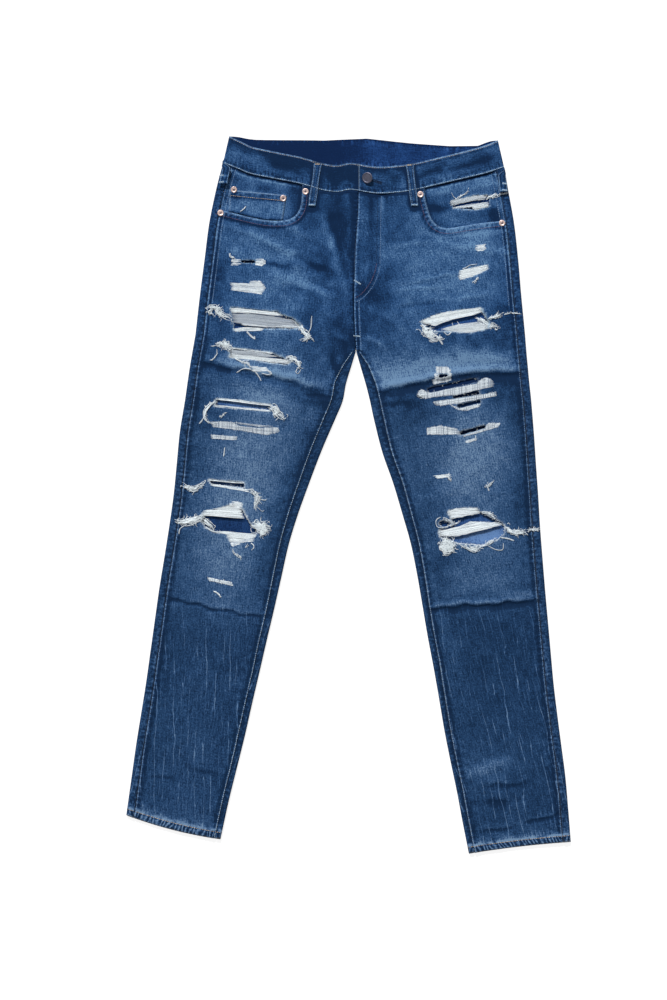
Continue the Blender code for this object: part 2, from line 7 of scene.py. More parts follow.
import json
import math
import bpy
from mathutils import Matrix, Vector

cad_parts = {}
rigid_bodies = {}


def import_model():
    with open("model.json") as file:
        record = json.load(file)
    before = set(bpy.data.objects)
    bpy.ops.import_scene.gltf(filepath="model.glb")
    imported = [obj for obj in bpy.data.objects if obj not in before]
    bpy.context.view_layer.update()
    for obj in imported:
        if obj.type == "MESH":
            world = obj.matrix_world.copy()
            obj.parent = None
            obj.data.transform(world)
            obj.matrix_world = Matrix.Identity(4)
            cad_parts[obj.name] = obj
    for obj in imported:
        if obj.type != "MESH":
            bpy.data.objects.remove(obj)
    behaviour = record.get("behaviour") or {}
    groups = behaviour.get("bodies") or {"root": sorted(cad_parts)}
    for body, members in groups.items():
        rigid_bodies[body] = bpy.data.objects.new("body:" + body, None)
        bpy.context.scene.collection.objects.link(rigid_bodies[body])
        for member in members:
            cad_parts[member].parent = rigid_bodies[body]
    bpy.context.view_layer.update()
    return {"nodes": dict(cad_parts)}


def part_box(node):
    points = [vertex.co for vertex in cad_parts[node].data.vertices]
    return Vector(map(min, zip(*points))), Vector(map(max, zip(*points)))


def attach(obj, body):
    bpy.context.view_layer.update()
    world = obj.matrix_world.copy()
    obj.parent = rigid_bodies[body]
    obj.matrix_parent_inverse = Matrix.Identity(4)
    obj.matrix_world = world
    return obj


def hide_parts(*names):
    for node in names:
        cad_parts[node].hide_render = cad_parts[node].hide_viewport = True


bl_info = {
    "name": "Ripped Jeans",
    "version": (1, 0, 0),
    "blender": (4, 5, 0),
    "location": "3D View > Sidebar > Jeans",
    "description": "Cloth, seams, rips, threads and metal trims of a pair of ripped jeans",
    "category": "Add Mesh",
}

from collections import namedtuple

import bpy
import numpy as np
from bpy.props import FloatProperty, FloatVectorProperty, PointerProperty
from mathutils import Vector
from mathutils.bvhtree import BVHTree

for leftover in list(bpy.data.objects):
    bpy.data.objects.remove(leftover)
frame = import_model()

MM = 0.001
ROOT = "root"
PLAN_SHIFT = (-0.75, -0.1)

# Heights of the flattened tube, and the gap that sewn edges keep.
GAP = 0.3
LEG_HEIGHT = 5.8
SEAT_LIFT = 1.5
SEAT_RAMP = (205, 245)
BAND_TOP = 8
FLAP_RISE = 1.4
FLAP_RAMP = (55, 88)
UNDERLAP_SINK = 1.1
UNDERLAP_RAMP = (-25, 5)
FACING_SINK = 1.9

# The folds at a leg's edges, and how far the back panel comes round to the outseam.
FOLD = 4.5
BAND_FOLD = 3.5
CROTCH_FOLD = 2
OUTSEAM = 12.8
CENTRE_X = 16.5
BACK_CENTRE_X = 12.8
BAND_HEIGHT = 43.5
BAND_LEAN = 10
HEM_HEIGHT = 12

# outer_x, outer_y, inner_x, inner_y, back_inner_y, inseam
# Rows 0 to 5 end on the centre line; row 1 is the yoke seam and row 5 the crotch.
CROTCH_ROW = 5
YOKE_ROW = 1
FIRST_ROW = 0.0075
RIGHT_ROWS = (
    (-200, 530, 16.5, 486.6, 523, 3), (-211, 488, 15.8, 450, 450, 3), (-222, 434, 12.4, 400, 400, 3),
    (-229.5, 376, 10.2, 345, 345, 3), (-237, 318, 9.6, 288, 288, 3), (-244, 256, 12.8, 230, 230, 3),
    (-248.5, 231, 5.5, 206, 206, 12), (-253, 205, -3, 178, 178, 17), (-257, 178, -8.5, 150, 150, 17),
    (-261, 150, -20.5, 121, 121, 17), (-269, 101, -42, 71, 71, 16), (-274, 50, -61.5, 20, 20, 15),
    (-279, 0, -79.5, -30, -30, 14), (-286, -50, -94.5, -79, -79, 13), (-294, -101, -106.5, -132, -132, 12),
    (-302, -150, -118, -183, -183, 11), (-309, -200, -129.8, -233, -233, 11),
    (-316, -250, -141.3, -283, -283, 10), (-323, -300, -153, -333, -333, 10),
    (-331, -350, -164.7, -385, -385, 10), (-339, -400, -177.6, -437, -437, 9),
    (-346, -450, -190.2, -488, -488, 9), (-354.7, -511.7, -203.8, -550.2, -550.2, 9),
)
LEFT_ROWS = (
    (249.6, 523.4, 16.5, 486, 523, 3), (256.5, 485, 15.8, 450, 450, 3), (265.5, 434, 12.4, 400, 400, 3),
    (272, 376, 10.2, 345, 345, 3), (277, 318, 9.6, 288, 288, 3), (283, 256, 12.8, 230, 230, 3),
    (285, 231, 20, 205, 205, 12), (287.5, 205, 28.5, 176, 176, 15), (290, 178, 35, 150, 150, 15),
    (293, 150, 41.5, 120, 120, 15), (297, 101, 54.5, 69, 69, 14), (300.5, 50, 72, 19, 19, 14),
    (304, 0, 86.6, -30, -30, 13), (307, -50, 100.2, -78, -78, 12), (311, -101, 110.6, -129, -129, 11),
    (315, -150, 119, -178, -178, 10), (319.5, -200, 127.3, -227, -227, 10),
    (324, -250, 136.6, -276, -276, 10), (328.5, -300, 145.2, -325, -325, 9),
    (334.5, -350, 153.6, -375, -375, 9), (341, -400, 163.5, -425, -425, 9),
    (347.5, -450, 173.6, -473, -473, 9), (352, -501, 182.6, -521, -521, 9),
    (356.2, -554.4, 193, -573.3, -573.3, 9),
)

# The waistband's seam on the front: x, y.
FRONT_SEAM = (
    (-200, 530), (-178, 521.6), (-157, 513), (-126, 506.5), (-77, 497), (-45, 487.5), (-19, 483.5),
    (0, 487), (12.8, 486.4), (30, 483), (51, 481), (84, 483.5), (110, 487.5), (133, 493), (184, 505),
    (221, 514), (249.6, 523.4),
)
# The waistband on the back: x, seam_y, top_y.
BACK_BAND = (
    (-200, 530, 573), (-150, 524, 568), (-38, 522.5, 567), (30, 525.5, 570), (100, 518, 562.5),
    (163, 513.5, 558), (211, 515, 558.5), (249.6, 523.4, 565.5),
)

# The mouths of the front pockets, from the waistband round to the outseam: x, y.
RIGHT_MOUTH = (
    (-72, 530), (-73.6, 482), (-76.5, 460), (-85, 446), (-101, 439), (-131, 439), (-171, 447.4),
    (-206, 456.5), (-240, 466),
)
LEFT_MOUTH = (
    (121, 530), (123, 478), (127, 460), (133, 442), (143.5, 430.5), (159.5, 426.4), (187, 430.4),
    (214.4, 434.7), (245, 438), (285, 442),
)

# Creases and ridges on top: x1, y1, x2, y2, bow, rise, lip, width. A lip stands up on its upper
# side and dives on its lower side.
TOP_FOLDS = (
    (-238, 214, -34, 165, 3, -0.7, 1.9, 7), (-122, 200, -70, 186, 1, 0.6, 0, 7),
    (-74, 166, -24, 155, 0, -1, 0.7, 3.4), (-304, -161, -122, -196, -2, -1.2, 1, 2.8),
    (-304, -176, -262, -180, 0, 0.5, 0, 4), (-262, -430, -196, -446, -2, -0.4, 0.3, 4),
    (-320, -448, -276, -452, 0, -0.4, 0.3, 4), (-206, 434, -80, 378, 4, 1, 0.3, 7),
    (-134, 438, -60, 408, 4, 0.8, 0.3, 6), (-206, 398, -160, 380, 2, 0.6, 0, 6),
    (-124, 350, -20, 308, 4, 0.6, 0.3, 7), (-196, 372, -140, 371, 0, -0.5, 0.5, 3),
    (-88, 386, -18, 352, 0, -0.7, 0.5, 7), (-70, 410, -10, 384, 0, -0.4, 0.3, 6),
    (-62, 350, -12, 322, 0, -0.4, 0.3, 6), (-50, 452, 0, 290, 7, 0.9, 0, 6),
    (-32, 460, -4, 340, 2, -0.4, 0, 4), (-24, 466, 2, 330, 2, 0.4, 0, 3.5),
    (-30, 262, 8, 236, 2, 0.7, 0.5, 6), (40, 163, 292, 200, 5, -0.9, 2.8, 8),
    (46, 150, 120, 146, 0, -0.5, 0.4, 6), (150, 212, 262, 218, 4, 0.6, 0, 8),
    (126, -179, 320, -165, -3, -0.8, 2, 5), (126, -181, 178, -181, 0, -0.9, 0.6, 4),
    (240, -160, 318, -155, 0, 0.8, 0, 5), (104, 338, 180, 355, 1, 0.8, 0.2, 2.6),
    (66, 326, 164, 332, 1, 0.7, 0.2, 2.8), (168, 310, 222, 318, 2, 0.6, 0.2, 3),
    (74, 300, 160, 308, 2, -0.6, 0.3, 4), (64, 395, 150, 404, 2, 0.4, 0.2, 6),
    (150, 395, 262, 380, 4, 0.4, 0.3, 8), (22, 250, 60, 226, 4, 0.6, 0.5, 6),
    (30, 300, 96, 250, 5, 0.4, 0.2, 7), (186, -452, 268, -428, 4, 0.7, 0.3, 9),
    (214, -463, 292, -458, -1, -0.7, 0.5, 5), (222, -488, 262, -490, 0, -1.1, 0.5, 6),
    (280, -522, 346, -508, 0, -0.8, 0.9, 4), (206, -535, 276, -528, 0, -0.5, 0.5, 3.5),
    (318, -536, 356, -535, 0, -0.9, 0.3, 2.5),
)
# Creases on the underside, the same way.
UNDER_FOLDS = (
    (-240, 190, -60, 160, 4, 1, 0.3, 7), (-236, 150, -90, 138, -3, 0.7, 0.2, 5),
    (-286, -72, -112, -96, 5, 0.9, 0.3, 5), (-290, -104, -120, -120, -4, 1.1, 0.3, 5),
    (-296, -132, -150, -152, 3, 0.8, 0.3, 4), (-330, -420, -200, -440, 3, 0.6, 0.2, 5),
    (60, 156, 280, 186, -4, 1, 0.3, 7), (70, 132, 230, 140, 3, 0.7, 0.2, 5),
    (110, -84, 300, -64, -4, 1, 0.3, 5), (118, -118, 306, -98, 4, 1.1, 0.3, 5),
    (130, -150, 262, -134, -3, 0.7, 0.3, 4), (190, -470, 330, -452, 3, 0.6, 0.2, 5),
)
# Creases across the waistband: x1, y1, x2, y2, bow, rise, lip, width.
BAND_FOLDS = (
    (-168, 552, -92, 536, 3, 0.4, 0.3, 5), (-150, 536, -66, 512, 3, -0.5, 0.4, 5),
    (-130, 520, -74, 508, 0, 0.4, 0.2, 4), (-42, 516, -30, 494, 0, 0.4, 0, 4),
    (-28, 512, -16, 492, 0, -0.4, 0.2, 4), (108, 512, 150, 524, -2, -0.4, 0.4, 5),
    (130, 536, 196, 548, 3, 0.5, 0.3, 5), (158, 524, 232, 540, -3, -0.4, 0.4, 5),
)

# Faded places on top: x, y, half_width, half_height, lean in degrees, amount.
TOP_FADES = (
    (-150, 398, 78, 42, -18, 0.3), (-90, 350, 80, 52, -30, 0.24), (-28, 400, 12, 70, 12, 0.18),
    (78, 88, 14, 60, 12, 0.1), (-64, 396, 30, 40, 0, 0.08), (86, 312, 40, 30, 0, 0.07),
    (-160, 310, 80, 40, 0, 0.22), (-128, 172, 84, 42, -12, 0.47), (-120, 235, 80, 42, -10, 0.28),
    (-150, 70, 70, 82, -8, 0.46), (-180, -20, 66, 60, -10, 0.36), (-196, -112, 66, 62, -8, 0.42),
    (-170, -182, 60, 14, -10, 0.16), (-242, -330, 60, 120, -12, 0.05), (-262, -520, 80, 16, -14, 0.1),
    (-270, -450, 70, 70, -12, 0.06), (196, 421, 56, 8, 3, 0.52), (90, 390, 44, 100, 0, 0.22),
    (190, 386, 84, 60, 8, 0.44), (150, 310, 84, 44, 8, 0.18), (160, 210, 120, 20, 8, 0.78),
    (78, 186, 34, 16, 14, 0.34), (64, 216, 40, 40, 20, 0.24), (196, 96, 80, 70, 4, 0.36),
    (190, 30, 74, 64, 6, 0.4), (214, -80, 70, 46, 6, 0.3), (216, -140, 78, 24, 6, 0.26),
    (216, -440, 44, 40, 12, 0.16), (150, -200, 16, 90, 12, 0.14), (270, -532, 80, 16, 8, 0.1),
)
# Painted shade on top, in creases, under folds and beside the fly and the crotch, with a few plainly darker
# places, the same way.
TOP_SHADES = (
    (-17, 440, 8, 54, 4, 0.24), (7, 424, 5, 60, 4, 0.16), (-8, 366, 15, 60, 6, 0.2),
    (11, 246, 15, 11, 0, 0.4), (-40, 366, 34, 18, -30, 0.16), (-216, 376, 16, 110, 6, 0.14),
    (-60, 240, 40, 60, -20, 0.04), (230, -240, 90, 60, 4, 0.05), (-114, 368, 22, 4.5, -6, 0.6),
    (-77, 393, 16, 6, -24, 0.3), (-44, 364, 16, 14, -40, 0.24), (-80, 327, 34, 6, -12, 0.18),
    (-8, 256, 14, 34, 20, 0.3), (-16, 200, 7, 46, 12, 0.4), (-64, 154, 44, 9, -14, 0.42),
    (-150, 178, 70, 6, -12, 0.12), (120, 411, 50, 3.5, 0, 0.2), (118, 394, 40, 4, -3, 0.16),
    (268, 340, 12, 120, 3, 0.24), (46, 322, 30, 20, 0, 0.16), (112, 122, 44, 24, 10, 0.12),
    (148, 60, 20, 60, -12, 0.12), (282, 40, 20, 110, 4, 0.2), (-246, 120, 14, 90, -6, 0.06),
    (-70, 60, 16, 90, -20, 0.2), (-126, -80, 18, 90, -14, 0.2), (150, -126, 12, 46, -10, 0.16),
    (46, 300, 34, 50, 0, 0.1), (256, 160, 34, 60, 4, 0.12), (150, 162, 90, 12, 8, 0.16),
)

# Openings torn through the cloth: the piece, how white the rim is, and the corners.
OPENINGS = (
    ("right_front", 0.15, ((-171, 375), (-149, 375), (-148, 371), (-171, 371))),
    ("right_front", 0.35, (
        (-188, 299), (-171, 298), (-113, 293), (-105, 287), (-87, 282), (-75, 268), (-90, 266), (-132, 266),
        (-158, 264), (-182, 263), (-183, 279),
    )),
    ("right_front", 0.45, (
        (-188, 235), (-154, 231), (-122, 227), (-104, 219), (-93, 213), (-97, 208), (-122, 211),
        (-154, 217), (-188, 219),
    )),
    ("right_front", 0.7, ((-210, 154), (-171, 150), (-123, 144), (-126, 135), (-171, 139), (-212, 143))),
    ("right_front", 0.6, ((-222, 24), (-167, 20), (-166, 12), (-218, 18))),
    ("right_front", 0.7, (
        (-232, -30), (-197, -19), (-178, -14), (-168, -26), (-157, -46), (-145, -57), (-150, -66),
        (-170, -73), (-187, -74), (-194, -60), (-213, -58), (-227, -52), (-234, -41),
    )),
    ("left_front", 0.4, ((180, 358), (220, 367), (222, 361), (202, 352), (181, 347))),
    ("left_front", 0.5, (
        (117, 276), (139, 287), (160, 292), (211, 298), (214, 292), (226, 274), (222, 266), (198, 260),
        (160, 262), (136, 262),
    )),
    ("left_front", 0.1, (
        (126, 166), (128, 171), (164, 179), (205, 187), (208, 181), (164, 171), (132, 164),
    )),
    ("left_front", 0.3, ((145, 193), (159, 193), (159, 187), (145, 187))),
    ("left_front", 0.15, ((167, 158), (209, 167), (210, 161), (168, 154))),
    ("left_front", 0.15, ((172, 144), (211, 152), (212, 147), (177, 139))),
    ("left_front", 0.15, ((178, 101), (219, 112), (220, 107), (180, 96))),
    ("left_front", 0.7, (
        (160, -26), (176, -22), (203, -22), (222, -33), (244, -44), (250, -50), (249, -62), (238, -71),
        (214, -80), (196, -78), (168, -76), (147, -66), (146, -56), (170, -48), (164, -36),
    )),
    ("left_front", 0.5, ((144, -45), (153, -40), (166, -47), (152, -51))),
    ("left_facing", 0.3, (
        (165, 471), (178, 473), (202, 478), (226, 479), (226, 462), (203, 456), (168, 459),
    )),
)

# Places filled with bare weft threads: tone from 0, grey, to 1, white; slope, ribs and the corners.
# Ribs are the warp threads that still cross it.
WEFTS = (
    (0.9, -0.02, 0, ((-186, 376), (-173, 377), (-172, 368), (-186, 367))),
    (1, 0.05, 0, ((-147, 377), (-135, 378), (-132, 370), (-138, 366), (-147, 367))),
    (0.95, -0.07, 0, (
        (-187, 339), (-158, 338), (-155, 342), (-141, 342), (-131, 331), (-139, 321), (-186, 327),
    )),
    (1, -0.09, 0, (
        (-188, 299), (-171, 298), (-152, 296), (-113, 292), (-105, 286), (-120, 287), (-152, 290),
        (-186, 292),
    )),
    (0.45, -0.1, 0, (
        (-185, 290), (-155, 289), (-123, 286), (-87, 280), (-82, 269), (-106, 270), (-140, 271),
        (-166, 273), (-183, 276),
    )),
    (0.85, -0.1, 0, ((-170, 275), (-120, 271), (-80, 270), (-80, 267), (-120, 268), (-168, 271))),
    (1, 0.01, 0, ((-183, 266), (-163, 268), (-134, 267), (-139, 262), (-171, 262), (-181, 261))),
    (0.9, -0.09, 0, ((-187, 236), (-154, 232), (-122, 228), (-122, 226), (-154, 230), (-187, 234))),
    (0.5, -0.13, 0, ((-187, 232), (-138, 228), (-110, 221), (-138, 221), (-187, 225))),
    (1, -0.1, 0, (
        (-189, 225), (-154, 222), (-122, 219), (-91, 215), (-94, 210), (-122, 212), (-154, 216),
        (-187, 219),
    )),
    (0.9, -0.03, 0, ((-156, 206), (-130, 204), (-127, 198), (-152, 197))),
    (0.95, -0.12, 0, ((-210, 155), (-171, 152), (-122, 145), (-122, 142), (-171, 148), (-210, 152))),
    (0.95, -0.13, 0, ((-213, 144), (-171, 140), (-125, 136), (-125, 133), (-171, 137), (-213, 141))),
    (0.75, -0.1, 1, (
        (-219, 117), (-187, 117), (-172, 110), (-141, 107), (-112, 108), (-110, 101), (-130, 96),
        (-171, 103), (-216, 109),
    )),
    (0.55, -0.1, 1, ((-183, 116), (-141, 112), (-118, 110), (-141, 109), (-170, 113))),
    (0.75, -0.06, 1, ((-219, 96), (-177, 94), (-179, 88), (-217, 90))),
    (0.95, -0.09, 0, ((-225, 25), (-166, 20), (-166, 18), (-223, 23))),
    (1, -0.14, 0, ((-220, 18), (-159, 9), (-159, 5), (-219, 15))),
    (1, -0.07, 0, (
        (-237, -34), (-230, -25), (-197, -18), (-181, -9), (-169, -13), (-172, -26), (-166, -38),
        (-230, -33),
    )),
    (1, -0.08, 0, (
        (-213, -57), (-147, -62), (-152, -74), (-169, -76), (-185, -83), (-192, -64), (-206, -60),
    )),
    (0.9, -0.2, 1, ((-225, -131), (-186, -139), (-184, -145), (-222, -137))),
    (0.9, 0.1, 0, ((204, 399), (219, 401), (219, 392), (210, 388), (205, 391))),
    (0.95, 0.22, 0, ((178, 359), (222, 369), (224, 361), (203, 350), (180, 344), (177, 350))),
    (1, 0.19, 0, (
        (112, 276), (136, 287), (160, 293), (212, 300), (214, 293), (198, 287), (168, 281), (150, 275),
        (139, 270), (123, 274),
    )),
    (0.8, 0.14, 0, (
        (148, 265), (174, 272), (202, 276), (224, 273), (222, 266), (198, 260), (178, 259), (159, 262),
    )),
    (0.85, 0.05, 1, ((141, 205), (158, 205), (164, 200), (162, 195), (141, 195))),
    (0.85, 0.05, 0, ((139, 195), (144, 195), (144, 182), (139, 183))),
    (0.85, 0.05, 0, ((160, 195), (164, 195), (164, 184), (160, 184))),
    (0.75, 0.1, 1, ((135, 184), (164, 190), (164, 183), (137, 177))),
    (0.8, 0.2, 1, (
        (112, 165), (118, 169), (125, 165), (132, 163), (164, 170), (206, 178), (212, 184), (221, 188),
        (228, 185), (233, 179), (232, 174), (207, 168), (173, 160), (148, 158), (124, 154), (114, 158),
    )),
    (0.84, 0.16, 1, (
        (136, 149), (164, 153), (169, 153), (211, 160), (236, 165), (237, 158), (212, 154), (172, 146),
        (150, 143), (140, 144),
    )),
    (0.85, 0.12, 1, ((163, 144), (170, 142), (177, 138), (212, 146), (209, 141), (190, 135), (176, 136))),
    (0.85, -0.08, 1, ((126, 107), (148, 111), (173, 106), (179, 100), (176, 97), (152, 97), (127, 97))),
    (0.85, 0.22, 1, (
        (183, 95), (220, 106), (221, 112), (226, 115), (243, 115), (240, 109), (216, 102), (185, 93),
    )),
    (0.8, 0.1, 0, ((188, 87), (205, 91), (206, 88), (189, 83))),
    (0.95, 0.1, 0, ((137, 31), (148, 32), (162, 35), (163, 30), (145, 26))),
    (1, 0.08, 0, ((159, -26), (174, -21), (204, -21), (211, -29), (181, -35), (165, -38))),
    (1, 0.2, 0, (
        (145, -58), (178, -50), (197, -42), (240, -44), (247, -47), (219, -55), (174, -66), (148, -66),
    )),
    (0.68, 0.16, 0, (
        (163, 471), (178, 473), (202, 478), (218, 480), (220, 473), (198, 470), (176, 465), (165, 463),
    )),
    (0.74, 0.16, 0, ((167, 460), (198, 465), (224, 469), (224, 461), (203, 455), (198, 460), (168, 458))),
)

# Thick twisted strands of torn weft: width, threads, tangle and the points that they follow.
STRANDS = (
    (11, 44, 3, ((-227, 300), (-212, 301), (-206, 292), (-196, 285), (-186, 281))),
    (8, 12, 3, ((-214, 302), (-222, 292), (-214, 288))),
    (11, 46, 3, ((-90, 281), (-80, 274), (-72, 263), (-64, 252), (-74, 246))),
    (0.8, 3, 0.8, ((-66, 256), (-60, 268), (-58, 286))),
    (0.8, 2, 0.8, ((-64, 256), (-56, 248), (-54, 246))),
    (2, 5, 1.2, ((-162, 262), (-156, 255), (-149, 250), (-150, 254))),
    (12, 46, 3, ((-212, 240), (-200, 243), (-192, 236), (-186, 228))),
    (2.5, 7, 1.2, ((-209, 236), (-210, 224), (-218, 216), (-227, 210))),
    (0.8, 2, 0.8, ((-206, 240), (-213, 238), (-219, 238))),
    (10, 36, 2.8, ((-102, 220), (-90, 219), (-80, 210), (-78, 202))),
    (0.8, 2, 0.6, ((-80, 204), (-84, 197), (-80, 194), (-76, 200), (-80, 204))),
    (6, 20, 2, ((-190, 222), (-172, 214), (-160, 210), (-156, 203))),
    (1.2, 3, 1.2, ((-154, 200), (-166, 202), (-178, 196), (-172, 199))),
    (1.6, 4, 1.2, ((-130, 199), (-122, 195), (-128, 192), (-138, 195))),
    (1.8, 5, 0.8, ((-148, 197), (-142, 188), (-139, 183))),
    (5.5, 26, 1.6, ((-209, 153), (-222, 142), (-229, 130), (-226, 120), (-216, 115), (-206, 120))),
    (2.4, 7, 0.8, ((-208, 119), (-201, 127), (-197, 133))),
    (2.4, 7, 1, ((-210, 152), (-222, 146), (-232, 136))),
    (1.2, 4, 0.8, ((-228, 136), (-231, 124), (-238, 114))),
    (13, 50, 3, ((-126, 140), (-116, 138), (-112, 130), (-102, 122))),
    (1.5, 4, 0.6, ((-197, 77), (-198, 68), (-199, 62))),
    (9, 40, 1.8, ((-224, 22), (-236, 14), (-248, 9), (-258, 14), (-264, 16))),
    (8, 34, 2.2, ((-163, 10), (-152, 6), (-144, -2), (-146, -14), (-147, -24))),
    (0.8, 2, 0.8, ((-146, -4), (-134, -8), (-130, -6))),
    (0.8, 2, 0.8, ((-147, -18), (-138, -25), (-134, -24))),
    (14, 70, 1.8, ((-278, -40), (-264, -43), (-250, -40), (-240, -38), (-228, -36))),
    (9, 30, 1.2, ((-240, -34), (-226, -44), (-214, -56))),
    (1.2, 4, 0.8, ((-260, -48), (-268, -54), (-270, -62))),
    (1.6, 5, 0.8, ((-228, -50), (-218, -57), (-208, -60))),
    (17, 80, 3, ((-154, -46), (-144, -48), (-134, -52), (-128, -56))),
    (10, 34, 2.4, ((-136, -56), (-138, -64))), (0.8, 2, 0.8, ((-160, -77), (-164, -84), (-158, -80))),
    (0.8, 3, 0.8, ((-156, -76), (-150, -82), (-154, -88))),
    (3, 9, 1.4, ((-186, -86), (-180, -94), (-173, -98), (-174, -102))),
    (2.2, 6, 1, ((-215, -153), (-208, -157), (-203, -163))),
    (3, 8, 1, ((-190, 392), (-189, 382), (-183, 379), (-178, 376))),
    (1.8, 5, 0.5, ((-172, 453), (-167, 457), (-163, 461))),
    (3, 9, 1.2, ((208, 350), (206, 345), (199, 338))), (0.8, 2, 2.2, ((182, 362), (194, 366), (206, 370))),
    (15, 56, 4.6, ((114, 271), (124, 262), (134, 256), (146, 250))),
    (2, 6, 1.4, ((140, 256), (146, 248), (151, 241))),
    (1.4, 4, 0.8, ((134, 262), (132, 250), (142, 246), (147, 256))),
    (1, 3, 0.6, ((166, 276), (168, 266), (160, 256), (153, 260))),
    (0.8, 2, 0.6, ((174, 278), (178, 272), (178, 266))),
    (10, 36, 2.4, ((200, 282), (212, 279), (224, 273), (232, 270), (239, 268))),
    (6, 20, 1.6, ((222, 281), (236, 286), (250, 289))), (2.6, 9, 0.8, ((248, 288), (262, 291), (278, 289))),
    (5, 14, 1.8, ((112, 164), (116, 158), (122, 160))), (1, 3, 0.5, ((203, 96), (204, 90), (200, 88))),
    (3, 9, 1, ((158, 31), (164, 24), (166, 20))), (4, 12, 1.2, ((216, 15), (224, 16), (233, 24))),
    (1.4, 4, 0.6, ((222, 15), (225, 7))),
    (1.4, 4, 0.6, ((150, -34), (141, -40), (142, -50), (150, -52), (166, -48), (174, -46))),
    (3, 10, 2, ((148, -36), (158, -40), (172, -44), (180, -40))),
    (21, 62, 5, ((148, -72), (158, -79), (170, -78))), (17, 44, 5, ((146, -80), (156, -88), (170, -84))),
    (8, 30, 3, ((180, -77), (192, -84), (204, -86), (214, -82))),
    (6, 20, 2.4, ((212, -82), (226, -76), (240, -70))),
    (1, 3, 0.5, ((222, -80), (236, -87), (247, -87), (248, -77))),
    (5, 18, 2, ((210, -28), (224, -28), (232, -34), (241, -43))),
    (10, 38, 2.4, ((250, -50), (260, -58), (274, -60), (286, -57))),
    (5, 18, 1.6, ((282, -58), (296, -55), (308, -55))), (1.6, 5, 1, ((244, -68), (256, -70), (265, -73))),
    (6, 20, 1.4, ((218, 474), (232, 478), (244, 481))), (3, 10, 0.8, ((242, 480), (250, 482), (258, 482))),
    (2.4, 8, 0.6, ((170, 471), (180, 478), (190, 484), (192, 491))),
    (0.8, 2, 0.5, ((174, 472), (168, 478), (165, 483))),
)

# Belt loops: name, top_x, top_y, bottom_x, bottom_y.
FRONT_LOOPS = (
    ("belt_loop_1", -48, 529.5, -58, 461), ("belt_loop_2", 98.5, 528, 106.5, 461),
)
BACK_LOOPS = (
    ("belt_loop_3", -182, 566, -204.5, 497), ("belt_loop_4", 12.8, 566, 12.8, 497),
    ("belt_loop_5", 232, 558, 251, 484),
)
# Back pockets: side, centre_x, tilt. Their mouth and foot, how far the foot comes to a point, half
# their width at the mouth, and how much narrower each side gets on its way down.
BACK_POCKETS = (("right", -96, -4), ("left", 121, 4))
POCKET_TOP = 432
POCKET_FOOT = 284
POCKET_POINT = 30
POCKET_HALF_WIDTH = 72
POCKET_TAPER = 8

# Pale and dark places on the wrong side, seen through the rips: its own paleness, with painted light where
# the rips shade it and painted shade in narrow slits: x, y, half_width, half_height, lean, amount.
INSIDE_FADES_LIGHT_AND_SHADE = (
    (228, -66, 34, 16, 10, 0.8), (190, -60, 34, 16, 10, 0.4), (-170, 144, 70, 14, -8, 0.56),
    (-196, -48, 60, 26, -8, -0.1), (-194, 17, 34, 8, -8, 0.6), (175, 168, 80, 30, 8, -0.6),
    (200, 105, 40, 14, 8, -0.6), (-160, 373, 16, 8, 0, -0.6),
)
# Faded places on the underside: x, y, half_width, half_height, lean in degrees, amount.
UNDER_FADES = (
    (-110, 300, 90, 90, 0, 0.3), (130, 300, 90, 90, 0, 0.3), (-140, 120, 60, 120, -6, 0.26),
    (180, 120, 60, 120, 6, 0.26), (-196, -110, 60, 60, -6, 0.2), (212, -100, 60, 60, 6, 0.2),
    (-250, -300, 50, 110, -6, 0.12), (240, -300, 50, 110, 6, 0.12),
)
# Faded places on the facings, and painted shade in their hollows and beside the mouths: x, y, half_width,
# half_height, lean in degrees, amount.
FACING_FADES_AND_SHADES = (
    (-85, 470, 14, 40, 0, -0.4), (-105, 492, 20, 6, -8, -0.3), (140, 458, 20, 6, 12, -0.35),
    (228, 446, 14, 12, 0, -0.6), (136, 462, 10, 14, 0, -0.25), (-120, 498, 60, 8, -8, 0.22),
    (-168, 507, 24, 5, -14, -0.3), (170, 492, 40, 8, 12, 0.15), (-196, 500, 14, 30, 0, -0.2),
)
# Soft folds in the pocket facings: x1, y1, x2, y2, bow, rise, lip, width.
FACING_FOLDS = (
    (-196, 516, -110, 494, 3, 0.25, 0.15, 5), (-180, 504, -90, 484, -3, -0.3, 0.15, 5),
    (126, 470, 172, 482, 4, 0.3, 0.2, 6), (128, 462, 166, 468, -3, -0.35, 0.2, 6),
    (186, 490, 240, 500, 0, 0.3, 0.2, 6), (222, 470, 244, 446, 2, -0.4, 0.3, 6),
)
# Faded places on the waistband, and painted shade in its folds and under its lapping end: x, y, half_width,
# half_height, lean in degrees, amount.
BAND_FADES_AND_SHADES = (
    (-170, 540, 30, 9, -14, 0.2), (-120, 516, 60, 7, -14, 0.18), (36, 505, 22, 18, 0, 0.12),
    (75, 492, 40, 8, 0, 0.16), (150, 512, 60, 8, 12, 0.2), (200, 546, 50, 7, 12, 0.2),
    (-14, 514, 24, 22, 0, -0.4), (-12, 494, 12, 6, 30, 0.34), (-96, 532, 44, 9, -14, -0.48),
    (-130, 530, 50, 4, -14, 0.14), (-60, 504, 24, 6, -10, 0.12), (120, 533, 36, 6, 12, -0.16),
    (230, 540, 16, 9, 12, -0.16), (180, 528, 50, 6, 12, -0.14),
)
# Pale and dark columns down the fly's placket: x, width, amount.
FLY_COLUMNS = (
    (22, 1.5, 0.24), (29, 2, 0.26), (37, 4, -0.22), (55, 2.6, 0.38), (62, 4, -0.12),
)
# The J-shaped stitching of the fly: x, y. Then the placket under it: its foot, the end of its curve
# and its width. Its bar tacks: x, y, angle, length.
FLY_CURVE = ((51, 366), (47, 350), (39, 333), (27, 318), (14, 309))
FLY_FOOT = 308
FLY_BEND = 372
FLY_WIDTH = 38
FLY_TACKS = ((15, 340, -0.55, 13), (14, 254, -0.1, 11))
